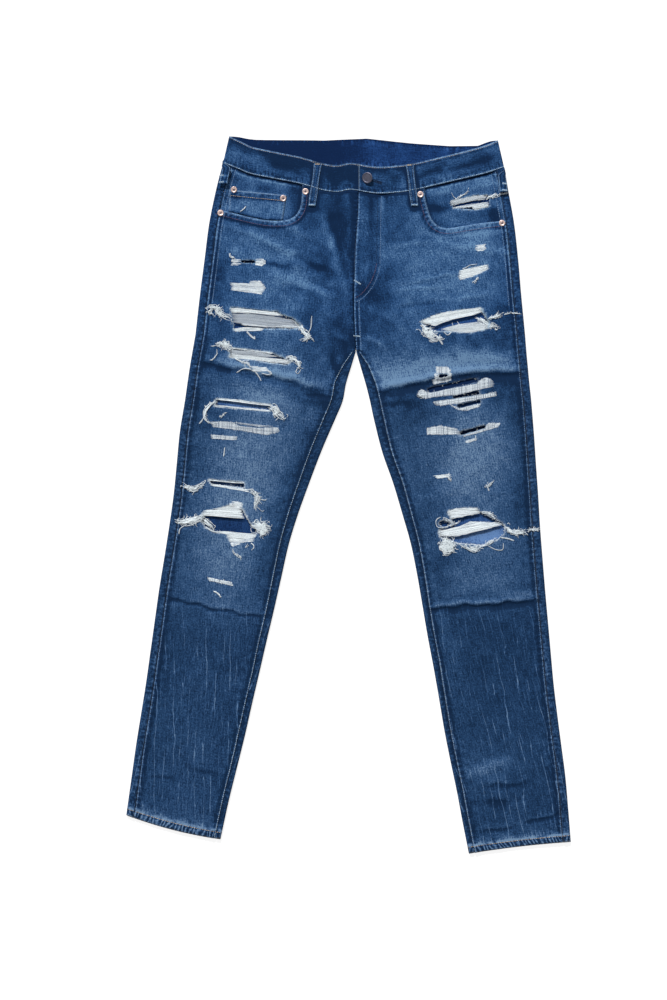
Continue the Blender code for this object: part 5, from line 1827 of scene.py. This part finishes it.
def stitch_shape():
    """One stitch, a short plump dash along X, one long and one wide."""
    deselect()
    bpy.ops.mesh.primitive_uv_sphere_add(segments=6, ring_count=4, radius=0.5)
    stitch = bpy.context.object
    bpy.ops.object.mode_set(mode="EDIT")
    bpy.ops.mesh.select_all(action="SELECT")
    bpy.ops.transform.rotate(value=math.pi / 2, orient_axis="Y", center_override=(0, 0, 0))
    bpy.ops.mesh.quads_convert_to_tris()
    bpy.ops.object.mode_set(mode="OBJECT")
    points = np.array([v.co for v in stitch.data.vertices])
    # The triangles come in any order, so each starts at its lowest corner and they are sorted.
    corners = [list(p.vertices) for p in stitch.data.polygons]
    faces = np.array(sorted(np.roll(c, -c.index(min(c))).tolist() for c in corners))
    bpy.data.objects.remove(stitch)
    return points, faces


def resample(line, pitch):
    """Points along a line at an even pitch."""
    line = np.asarray(line, float)
    run = run_along(line)
    places = np.arange(pitch / 2, run[-1], pitch)
    return np.column_stack([np.interp(places, run, line[:, axis]) for axis in (0, 1)])


class Sewing:
    """Gathers stitches, each with a place, a heading, a length and a colour, into one mesh."""

    def __init__(self, ground):
        settings = bpy.context.scene.jeans_threads
        self.ground = ground
        self.shape = stitch_shape()
        self.points, self.faces, self.dyes = [], [], []
        self.random = np.random.default_rng(5)
        self.pitch, self.width = settings.stitch / MM, settings.thread / MM

    def add(self, x, y, angle, length, colour, below=False, lift=0.1, width=None):
        points, faces = self.shape
        width = width or self.width
        if below:
            z = max(self.ground.foot(x, y) - lift, width * 0.3)
        else:
            z = self.ground.top(x, y) + lift
        along, aside, high = (points * (length, width, width * 0.6)).T
        cosine, sine = math.cos(angle), math.sin(angle)
        px, py = x + along * cosine - aside * sine, y + along * sine + aside * cosine
        self.faces.append(faces + len(points) * len(self.points))
        self.points.append(placed(px, py, z + high))
        dye = np.array(getattr(bpy.context.scene.jeans_colours, colour))
        self.dyes.append(np.tile(dye * self.random.uniform(0.55, 1.25), (len(points), 1)))

    def row(self, line, colour, below=False, width=None):
        """A row of topstitching along a line."""
        places = resample(line, self.pitch)
        if len(places) < 2:
            return
        for (x, y), (dx, dy) in zip(places, np.gradient(places, axis=0)):
            self.add(x, y, math.atan2(dy, dx), self.pitch * 0.88, colour, below, 0.05, width)

    def grid_row(self, x, y, edge, colour, below=False, width=None):
        """A row of topstitching along one row or column of a grid."""
        self.row(np.column_stack([x[edge], y[edge]]), colour, below, width)

    def tack(self, x, y, angle, length, colour, below=False):
        """A bar tack: threads laid side by side across a bar."""
        count = int(length / 0.75)
        for k in range(count):
            along = (k + 0.5) / count * length - length / 2
            px, py = x + along * math.cos(angle), y + along * math.sin(angle)
            self.add(px, py, angle + math.pi / 2 + 0.15, 2.6, colour, below, lift=0.25)

    def finish(self, name):
        points, faces, dyes = (np.vstack(rows) for rows in (self.points, self.faces, self.dyes))
        thread_object(name, points, faces, dyes, "sewing")


def outer_line(leg, start, end, distance):
    """A line down a leg at a distance from its outer fold."""
    x, y = plan(leg, np.linspace(start, end, 160), np.full((160, 1), distance))
    return np.hstack([x, y])


def inner_line(leg, start, end, distance, back=False):
    """A line down a leg at a distance from its inner seam line."""
    t = np.linspace(start, end, 160)
    away = row_length(leg, t, back) - inseam_at(leg, t) * (t >= CROTCH_ROW) - distance
    return np.hstack(plan(leg, t, away[:, None], back))


def cross_row(sewing, leg, t, near, far, colour, back=False, width=None):
    """A row of topstitching across a leg, from near its outer fold to near its inner one."""
    end = float(row_length(leg, t, back)[0]) - far
    x, y = plan(leg, t, np.linspace(near, end, 60)[None, :], back)
    sewing.grid_row(x, y, 0, colour, back, width)


def sew_legs(sewing):
    for leg in LEGS:
        last = len(leg.rows) - 1
        foot = last - 0.02
        for inset in SEAM_ROWS:
            sewing.row(outer_line(leg, 0.05, 4.2, OUTSEAM + inset), "worn", width=0.85)
        sewing.row(outer_line(leg, 4.2, foot, OUTSEAM + 1.6), "worn", width=0.7)
        width = 0.6 if leg.side > 0 else 0.95
        sewing.row(inner_line(leg, CROTCH_ROW + 0.1, foot, 1.6), "cream", width=width)
        near_hem = np.linspace(20, last, 60)
        t = np.interp(down_leg(leg, last) - HEM_HEIGHT + 1.5, down_leg(leg, near_hem), near_hem)
        cross_row(sewing, leg, t, 1.5, 1.5, "tan", width=1)
        cross_row(sewing, leg, t, 1.5, 1.5, "tan", back=True)
        for inset, colour in zip(SEAM_ROWS, ("worn", "rust")):
            x, y = mouth_line(leg, inset).T
            clear = (y < np.interp(x, *waist_seam().T) - 3) & (np.abs(x) < leg.mouth_end)
            sewing.grid_row(x, y, clear, colour)
        for inset in SEAM_ROWS:
            cross_row(sewing, leg, YOKE_ROW + inset / 54, 8, 2, "rust", back=True)
            sewing.row(inner_line(leg, 0.1, 4.9, inset, back=True), "rust", below=True)


def sew_fly(sewing):
    for inset, low, high in ((0, "worn", "worn"), (5.6, "rust", "dark")):
        sewing.row(smooth_line(np.array(FLY_CURVE) + (-0.9 * inset, 0.7 * inset), 40), low)
        sewing.row(((53 - inset, 478), (51 - inset, 368)), high, width=0.7)
    sewing.row(inner_line(LEFT, 0.05, 4.9, 1.2), "worn", width=0.7)
    sewing.row(inner_line(LEFT, 3.6, 4.9, 8.4), "worn", width=0.9)
    for tack in FLY_TACKS:
        sewing.tack(*tack, "cream")


def sew_waist(sewing):
    for leg in LEGS:
        stations = band_half(leg, 3)
        level, back = stations[:, 4], stations[:, 5] > 0.5
        for part, below in ((~back & (level > 6), False), (back & (level < 1.6), True)):
            foot, top = stations[part, 0:2], stations[part, 2:4]
            for up, colour, width in ((1.6, "cream", 1.1), (BAND_HEIGHT - 2.2, "stone", 0.85)):
                sewing.row(foot + (top - foot) * (up / BAND_HEIGHT), colour, below, width)
    sewing.row(((18, 488), (18, 528)), "worn", width=0.7)


def sew_pockets(sewing):
    for *ends, colour in COIN_ROWS:
        sewing.row(np.reshape(ends, (2, 2)), colour)
    for _, centre_x, tilt in BACK_POCKETS:
        for inset in SEAM_ROWS:
            x, y, _, _ = pocket_grid(centre_x, tilt, inset)
            for edge in (np.s_[:, 0], np.s_[:, -1], -1):
                sewing.grid_row(x, y, edge, "rust", below=True)
        for inset in (4, 12):
            x, y, _, _ = pocket_grid(centre_x, tilt, inset)
            sewing.grid_row(x, y, 0, "rust", below=True)


def sew_loops(sewing):
    for loop in FRONT_LOOPS + BACK_LOOPS:
        top, bottom = np.array(loop[1:]).reshape(2, 2)
        below = loop in BACK_LOOPS
        wraps = below and abs(top[0]) > SIDE_LOOP
        end = top + (bottom - top) * 0.38 if wraps else bottom
        for aside in (-3.6, 3.6):
            sewing.row((top + (aside, -4), end + (aside, 5)), "worn", below, 0.7)
        sewing.tack(top[0] - 1, top[1] - 1.2, 0, 7, "tan", below)
        if wraps:
            side = np.sign(top[0])
            edge = float(side_edge(side, bottom[1]))
            for up in (2.5, 13):
                sewing.tack(edge - side * 6.5, bottom[1] + up, -0.1 * side, 8, "cream")
        else:
            sewing.tack(bottom[0], bottom[1] + 2.5, 0, 8, "cream", below)


def sew_buttonhole(sewing):
    """Close stitches round the slit, and the dark slit itself."""
    start, end = np.array(BUTTONHOLE)
    step = end - start
    angle = math.atan2(step[1], step[0])
    across = np.array((-math.sin(angle), math.cos(angle)))
    for share in np.linspace(0, 1, 20):
        for side in (-1.5, 1.5):
            sewing.add(*(start + step * share + side * across), angle + math.pi / 2, 2, "dark")
    for share in np.linspace(0.05, 0.95, 14):
        sewing.add(*(start + step * share), angle, 2.4, "dark", lift=0.05)


class Fibres:
    """Gathers thin threads, each with its path, its radii and how white it is, into one mesh."""

    def __init__(self, seed):
        self.random = np.random.default_rng(seed)
        self.draw = self.random.uniform
        self.paths, self.radii, self.tones = [], [], []

    def add(self, x, y, z, radii, tone):
        self.paths.append(placed(x, y, z))
        self.radii.append(radii)
        self.tones.append(tone)

    def finish(self, name, sides):
        points, faces = tubes(np.array(self.paths), np.array(self.radii), sides)
        colours = bpy.context.scene.jeans_colours
        white, grey = np.array(colours.weft), np.array(colours.grey_weft)
        tone = np.repeat(np.clip(self.tones, 0, 1), len(points) // len(self.tones))[:, None]
        thread_object(name, points, faces, grey + (white - grey) * tone, "weft")


def crossings(outline, axis, level):
    """Pairs of places between which a straight line at a level of one axis is in an outline."""
    found = []
    for start, end in zip(outline, np.roll(outline, -1, axis=0)):
        if (start[axis] > level) != (end[axis] > level):
            share = (level - start[axis]) / (end[axis] - start[axis])
            found.append(start[1 - axis] + (end[1 - axis] - start[1 - axis]) * share)
    found.sort()
    return zip(found[0::2], found[1::2])


# Places along a thread, from its start to its end, and how often a strand's route is laid on the
# cloth.
ALONG = np.linspace(0, 1, 12)
LEVEL_STEP = 6


def lay_weft(fibres, slope, ribs, tone, level, left, right):
    """A bare weft thread. It sags across an opening, and lies flat where ribs still cross it."""
    settings = bpy.context.scene.jeans_threads
    draw = fibres.draw
    overlap = 1.5 if ribs else 2.2
    left -= draw(-0.6, overlap)
    right += draw(-0.6, overlap)
    x = left + (right - left) * ALONG
    drift = draw(-0.3, 0.3) * (settings.weft_pitch / MM)
    y = level + slope * x + drift + 0.25 * np.sin(ALONG * draw(4, 9))
    base = open_height(x, y) - (FACING_SINK if y.mean() > FACING_FOOT else 0)
    slack = 0.5 * (base + rip_level(x.mean(), y.mean())) - 0.1 + draw(-0.3, 0.3)
    radii = settings.weft * draw(0.85, 1.2) * np.where((ALONG > 0.04) & (ALONG < 0.96), 1, 0.4)
    fibres.add(x, y, base + 0.15 if ribs else slack, radii, tone + draw(-0.16, 0.12))


def lay_rib(fibres, x, low, high):
    """A warp thread that still crosses a worn place, dark or sometimes pale."""
    draw = fibres.draw
    low, high = low - draw(-0.4, 1.6), high + draw(-0.4, 1.6)
    y = low + (high - low) * ALONG
    x = x + draw(-0.3, 0.3) + 0 * y
    z = open_height(x, y) + 0.35 + 0.25 * np.sin(ALONG * math.pi)
    radii = bpy.context.scene.jeans_threads.weft * draw(0.9, 1.8) + 0 * y
    fibres.add(x, y, z, radii, draw(0, 0.35) if draw() < 0.7 else 0.8)


def lay_wefts():
    """Weft threads that bridge the worn places, and the warp ribs that still cross some of them."""
    pitch = bpy.context.scene.jeans_threads.weft_pitch / MM
    fibres = Fibres(17)
    for tone, slope, ribs, corners in WEFTS:
        corners = np.array(corners, float)
        flat = corners - slope * corners[:, :1] * (0, 1)
        (low_x, low_y), (high_x, high_y) = flat.min(axis=0), flat.max(axis=0)
        for level in np.arange(low_y + pitch * 0.4, high_y, pitch):
            for left, right in crossings(flat, 1, level):
                if right - left >= 1.5:
                    lay_weft(fibres, slope, ribs, tone - 0.1 * ribs, level, left, right)
        if ribs:
            for rib_x in np.arange(low_x + 1, high_x, 3.6):
                for low, high in crossings(corners, 0, rib_x):
                    lay_rib(fibres, rib_x, low, high)
    fibres.finish("bare_weft", 5)


def lay_fibre(fibres, route, level, width, tangle, thick, loose):
    """A fibre of a strand, to one side of its route. It follows the strand, or curls away if loose."""
    draw, normal = fibres.draw, fibres.random.normal
    start = draw(0, 0.55 if thick else 0.1)
    end = min(1, start + (draw(0.3, 0.6) if thick else 1))
    places = (start + (end - start) * ALONG) * (len(route) - 1)
    x, y = (np.interp(places, np.arange(len(route)), values) for values in route.T)
    aside = normal(0, width * 0.22)
    turn = draw(0, math.tau)
    heading = math.atan2(y[-1] - y[0], x[-1] - x[0])
    if loose:
        turns = heading + normal(0, 0.9) + draw(-4.5, 4.5) * (ALONG - 0.4)
        step = draw(0.5, 1.1) * (3 + 0.5 * width) / len(ALONG)
        middle = int(draw(0, len(ALONG) - 0.01))
        x = x[middle] + np.cumsum(np.cos(turns)) * step
        y = y[middle] + np.cumsum(np.sin(turns)) * step
        places = places[middle] + 0 * ALONG
    else:
        curl = tangle * draw(0.2, 0.8)
        angle = turn + draw(3, 8) * ALONG
        x, y = x + curl * np.cos(angle), y + curl * np.sin(angle)
    x, y = x - math.sin(heading) * aside, y + math.cos(heading) * aside
    # Fibres in the middle of a wide strand are stacked highest; the lower a fibre lies, the more painted
    # shade it gets from the grey weft.
    stack = 0.4 + 2.2 * draw() * min(1, width / 8) * (1 - min(1, abs(aside) / width))
    floor = np.interp(places, np.arange(0, len(route), LEVEL_STEP), level)
    z = floor + stack + 0.5 * np.abs(np.sin(turn + 4 * ALONG))
    radii = bpy.context.scene.jeans_threads.fray * draw(0.8, 1.35) * (1 - 0.6 * ALONG**3)
    fibres.add(x, y, z, radii, min(1, 0.46 + 0.26 * stack + draw(0, 0.24)))


def lay_strands(ground):
    """The torn strands. Two in three fibres of a thick strand are loose."""
    fibres = Fibres(29)
    for width, count, tangle, points in STRANDS:
        route = smooth_line(points, 60)
        level = [ground.top(*place) for place in route[::LEVEL_STEP]]
        thick = count > 6
        for number in range(int(count * 1.4)):
            lay_fibre(fibres, route, level, width, tangle, thick, thick and number % 3)
    fibres.finish("torn_strands", 4)


def lay_frays():
    """Short fibres that stand out all round the torn edges."""
    radius = bpy.context.scene.jeans_threads.fray
    fibres = Fibres(41)
    draw = fibres.draw
    share = np.linspace(0, 1, 6)
    for seed, (_, white, outline) in enumerate(OPENINGS):
        for x, y in resample(closed(torn(outline, seed)), 1.1):
            if draw() > 0.8 * white:
                continue
            angle, length, bend = draw(0, math.tau), draw(1.2, 4.2), draw(-2.5, 2.5)
            turns = angle + bend * share
            px = x + np.cumsum(np.cos(turns)) * length / 6
            py = y + np.cumsum(np.sin(turns)) * length / 6
            z = rip_level(x, y) + 0.2 + draw(0, 0.8) * share
            fibres.add(px, py, z, radius * draw(0.5, 0.9) * (1 - 0.5 * share), draw(0.75, 1))
    fibres.finish("frayed_edges", 3)


# ---------------------------------------------------------------- metal


def select_top(mesh):
    """Selects only the highest flat face, with its corners."""
    height = max(v.co.z for v in mesh.vertices)
    for part in (*mesh.edges, *mesh.vertices):
        part.select = False
    for polygon in mesh.polygons:
        polygon.select = polygon.normal.z > 0.9 and abs(polygon.center.z - height) < 1e-5
        if polygon.select:
            for index in polygon.vertices:
                mesh.vertices[index].select = True


def turned_disc(name, radius, height, rings, vertices):
    """A round piece: a cylinder whose top is inset and pushed in or out, ring by ring."""
    deselect()
    bpy.ops.mesh.primitive_cylinder_add(
        vertices=vertices, radius=radius * MM, depth=height * MM, location=(0, 0, height / 2 * MM)
    )
    obj = bpy.context.object
    obj.name = name
    bpy.ops.object.transform_apply(location=True, rotation=True, scale=True)
    select_top(obj.data)
    bpy.ops.object.mode_set(mode="EDIT")
    bpy.ops.mesh.select_mode(type="FACE")
    for inset, rise in rings:
        bpy.ops.mesh.inset(thickness=inset * MM, depth=rise * MM)
    bpy.ops.mesh.select_all(action="SELECT")
    bpy.ops.mesh.bevel(offset=0.12 * MM, segments=2, affect="EDGES")
    bpy.ops.mesh.normals_make_consistent(inside=False)
    bpy.ops.object.mode_set(mode="OBJECT")
    bpy.ops.object.shade_smooth_by_angle(angle=math.radians(40))
    return obj


def move_to(obj, x, y, z, tilt=(0, 0)):
    """Turns a finished mesh a little and puts it in its place, with its object at the origin."""
    make_active(obj)
    obj.rotation_euler = (*tilt, 0)
    obj.location = placed(x, y, z).tolist()
    bpy.ops.object.transform_apply(location=True, rotation=True, scale=True)


def node_place(node):
    """The middle of a CAD node in the plan, and the height of its foot."""
    low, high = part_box(node)
    centre = (low + high) / 2 / MM
    return centre.x - PLAN_SHIFT[0], centre.y - PLAN_SHIFT[1], low.z / MM


def make_rivets(ground):
    """The rivets, whose middles are tarnished, each a little askew."""
    pattern = turned_disc("rivet_pattern", 5, 0.7, RIVET_RINGS, 28)
    pattern.data.materials.append(MATERIALS["copper"])
    pattern.data.materials.append(MATERIALS["tarnish"])
    for polygon in pattern.data.polygons:
        if polygon.center.xy.length < 1.9 * MM:
            polygon.material_index = 1
    for number in range(1, 7):
        x, y, _ = node_place(f"rivet_{number}")
        rivet = pattern.copy()
        rivet.data = pattern.data.copy()
        rivet.name = f"rivet_{number}_cap"
        bpy.context.scene.collection.objects.link(rivet)
        seat = max(ground.top(x + dx, y + dy) for dx, dy in ((0, 0), (3, 0), (-3, 0), (0, 3), (0, -3)))
        move_to(rivet, x, y, seat - 0.25, (0.05 * math.sin(number), 0.05 * math.cos(3 * number)))
        finish_piece(rivet, f"rivet_{number}")
    bpy.data.objects.remove(pattern)


def make_button():
    """The waist button: a dished cap with a raised rim and a soft dome, on its shank."""
    x, y, base = node_place("waist_button")
    cap = turned_disc("button_cap", 8.8, 1.7, BUTTON_RINGS, 40)
    move_to(cap, x, y, base + 2.9, (0.16, -0.4))
    shank = turned_disc("button_shank", 3.3, 1.9, ((0.3, 0.1),), 20)
    move_to(shank, x, y, base - 0.1)
    for piece in (cap, shank):
        piece.data.materials.append(MATERIALS["pewter"])
        finish_piece(piece, "waist_button")


# ---------------------------------------------------------------- the stage


def floor_material(brightness):
    """A white floor that still takes shadows."""
    material = bpy.data.materials.new("floor_white")
    material.use_nodes = True
    tree = material.node_tree
    tree.nodes.clear()
    out = add_node(tree, "ShaderNodeOutputMaterial")
    diffuse = add_node(tree, "ShaderNodeBsdfDiffuse", {"Color": (brightness,) * 3 + (1,)})
    glow = add_node(tree, "ShaderNodeEmission", {"Color": (1, 1, 1, 1)})
    path = add_node(tree, "ShaderNodeLightPath")
    camera, glossy, through = (
        Wire(tree, path.outputs[f"Is {ray} Ray"]) for ray in ("Camera", "Glossy", "Transmission")
    )
    seen = camera.math("MAXIMUM", glossy).math("MAXIMUM", through)
    (seen * 0.85).to(glow, "Strength")
    shaders = [Wire(tree, shader.outputs[0]) for shader in (diffuse, glow)]
    both = add_node(tree, "ShaderNodeAddShader", dict(enumerate(shaders)))
    Wire(tree, both.outputs[0]).to(out, "Surface")
    return material


def make_floor(settings):
    """A wide floor just under the garment."""
    deselect()
    bpy.ops.mesh.primitive_plane_add(size=80, location=(0, 0, -0.0004))
    floor = bpy.context.object
    floor.name = "floor"
    bpy.ops.object.transform_apply(location=True, rotation=True, scale=True)
    floor.data.materials.append(floor_material(settings.floor))


def light_stage(scene, settings):
    """A soft white sky, and a broad sun from beyond the waist."""
    world = bpy.data.worlds.new("studio")
    world.use_nodes = True
    sky = world.node_tree.nodes["Background"].inputs
    sky["Color"].default_value = (1, 1, 1, 1)
    sky["Strength"].default_value = settings.fill
    scene.world = world
    sun = bpy.data.lights.new("key", "SUN")
    sun.energy = settings.key
    sun.angle = math.radians(9)
    lamp = bpy.data.objects.new("key", sun)
    lamp.rotation_euler = (math.radians(-47), math.radians(-18), 0)
    scene.collection.objects.link(lamp)


def set_camera(scene, settings):
    """A camera straight above the garment."""
    lens = bpy.data.cameras.new("camera")
    lens.sensor_width = 36
    lens.lens = 36 * settings.camera_height / settings.view_height
    lens.clip_end = 20
    camera = bpy.data.objects.new("camera", lens)
    camera.location = (CAMERA_AT[0] * MM, CAMERA_AT[1] * MM, settings.camera_height)
    scene.collection.objects.link(camera)
    scene.camera = camera
    scene.view_settings.view_transform = "Standard"


# ---------------------------------------------------------------- operators


class JEANS_OT_fronts(bpy.types.Operator):
    """Make the two front panels, torn and creased"""

    bl_idname = "jeans.fronts"
    bl_label = "Front panels"

    def execute(self, context):
        for leg in LEGS:
            make_front(leg)
        return {"FINISHED"}


class JEANS_OT_backs(bpy.types.Operator):
    """Make the two back panels with their yokes"""

    bl_idname = "jeans.backs"
    bl_label = "Back panels and yokes"

    def execute(self, context):
        for leg in LEGS:
            make_back(leg)
        return {"FINISHED"}


class JEANS_OT_pockets(bpy.types.Operator):
    """Make the pocket facings, the coin pocket and the back pockets"""

    bl_idname = "jeans.pockets"
    bl_label = "Pockets"

    def execute(self, context):
        for leg in LEGS:
            make_facing(leg)
        make_coin_pocket()
        for pocket in BACK_POCKETS:
            make_back_pocket(*pocket)
        return {"FINISHED"}


class JEANS_OT_waistband(bpy.types.Operator):
    """Make the waistband with its lapping end"""

    bl_idname = "jeans.waistband"
    bl_label = "Waistband"

    def execute(self, context):
        make_waistband()
        return {"FINISHED"}


class JEANS_OT_belt_loops(bpy.types.Operator):
    """Make the five belt loops"""

    bl_idname = "jeans.belt_loops"
    bl_label = "Belt loops"

    def execute(self, context):
        ground = Ground()
        for loop in FRONT_LOOPS:
            make_front_loop(ground, *loop)
        for loop in BACK_LOOPS:
            make_back_loop(ground, *loop)
        return {"FINISHED"}


class JEANS_OT_fly(bpy.types.Operator):
    """Finish the shield and the zip tape under the fly"""

    bl_idname = "jeans.fly"
    bl_label = "Fly"

    def execute(self, context):
        for node, material in (("fly_shield", "tape"), ("fly_zip", "pewter")):
            obj = frame["nodes"][node]
            obj.data.materials.clear()
            obj.data.materials.append(MATERIALS[material])
        return {"FINISHED"}


class JEANS_OT_topstitching(bpy.types.Operator):
    """Sew the topstitching, the bar tacks and the buttonhole"""

    bl_idname = "jeans.topstitching"
    bl_label = "Topstitching"

    def execute(self, context):
        loops = [f"{loop[0]}_cloth" for loop in FRONT_LOOPS + BACK_LOOPS]
        pockets = [f"{pocket[0]}_back_pocket_cloth" for pocket in BACK_POCKETS]
        sewing = Sewing(Ground(*loops, *pockets))
        for sew in (sew_legs, sew_fly, sew_waist, sew_pockets, sew_loops, sew_buttonhole):
            sew(sewing)
        sewing.finish("topstitching")
        return {"FINISHED"}


class JEANS_OT_rips(bpy.types.Operator):
    """Lay the bare weft in the rips and fray their edges"""

    bl_idname = "jeans.rips"
    bl_label = "Rips"

    def execute(self, context):
        lay_wefts()
        lay_strands(Ground())
        lay_frays()
        return {"FINISHED"}


class JEANS_OT_metal(bpy.types.Operator):
    """Set the rivets and the waist button"""

    bl_idname = "jeans.metal"
    bl_label = "Rivets and button"

    def execute(self, context):
        make_rivets(Ground())
        make_button()
        return {"FINISHED"}


class JEANS_OT_stage(bpy.types.Operator):
    """Make the floor, the lamps and the camera"""

    bl_idname = "jeans.stage"
    bl_label = "Stage"

    def execute(self, context):
        settings = context.scene.jeans_stage
        make_floor(settings)
        light_stage(context.scene, settings)
        set_camera(context.scene, settings)
        return {"FINISHED"}


OPERATORS = (
    JEANS_OT_fronts, JEANS_OT_backs, JEANS_OT_pockets, JEANS_OT_waistband, JEANS_OT_belt_loops,
    JEANS_OT_fly, JEANS_OT_topstitching, JEANS_OT_rips, JEANS_OT_metal, JEANS_OT_stage,
)


class JEANS_PT_sidebar(bpy.types.Panel):
    """Lists the steps that make the jeans"""

    bl_idname = "JEANS_PT_sidebar"
    bl_label = "Jeans"
    bl_space_type = "VIEW_3D"
    bl_region_type = "UI"
    bl_category = "Jeans"

    def draw(self, context):
        for operator in OPERATORS:
            self.layout.operator(operator.bl_idname)
        for group, name in PROPERTY_GROUPS.items():
            for setting in group.__annotations__:
                self.layout.prop(getattr(context.scene, name), setting)


def register():
    for group, name in PROPERTY_GROUPS.items():
        bpy.utils.register_class(group)
        setattr(bpy.types.Scene, name, PointerProperty(type=group))
    for cls in (*OPERATORS, JEANS_PT_sidebar):
        bpy.utils.register_class(cls)


def unregister():
    for cls in (JEANS_PT_sidebar, *OPERATORS):
        bpy.utils.unregister_class(cls)
    for group, name in PROPERTY_GROUPS.items():
        delattr(bpy.types.Scene, name)
        bpy.utils.unregister_class(group)


def main():
    register()
    make_materials()
    for operator in OPERATORS:
        family, name = operator.bl_idname.split(".")
        getattr(getattr(bpy.ops, family), name)()


if __name__ == "__main__":
    main()
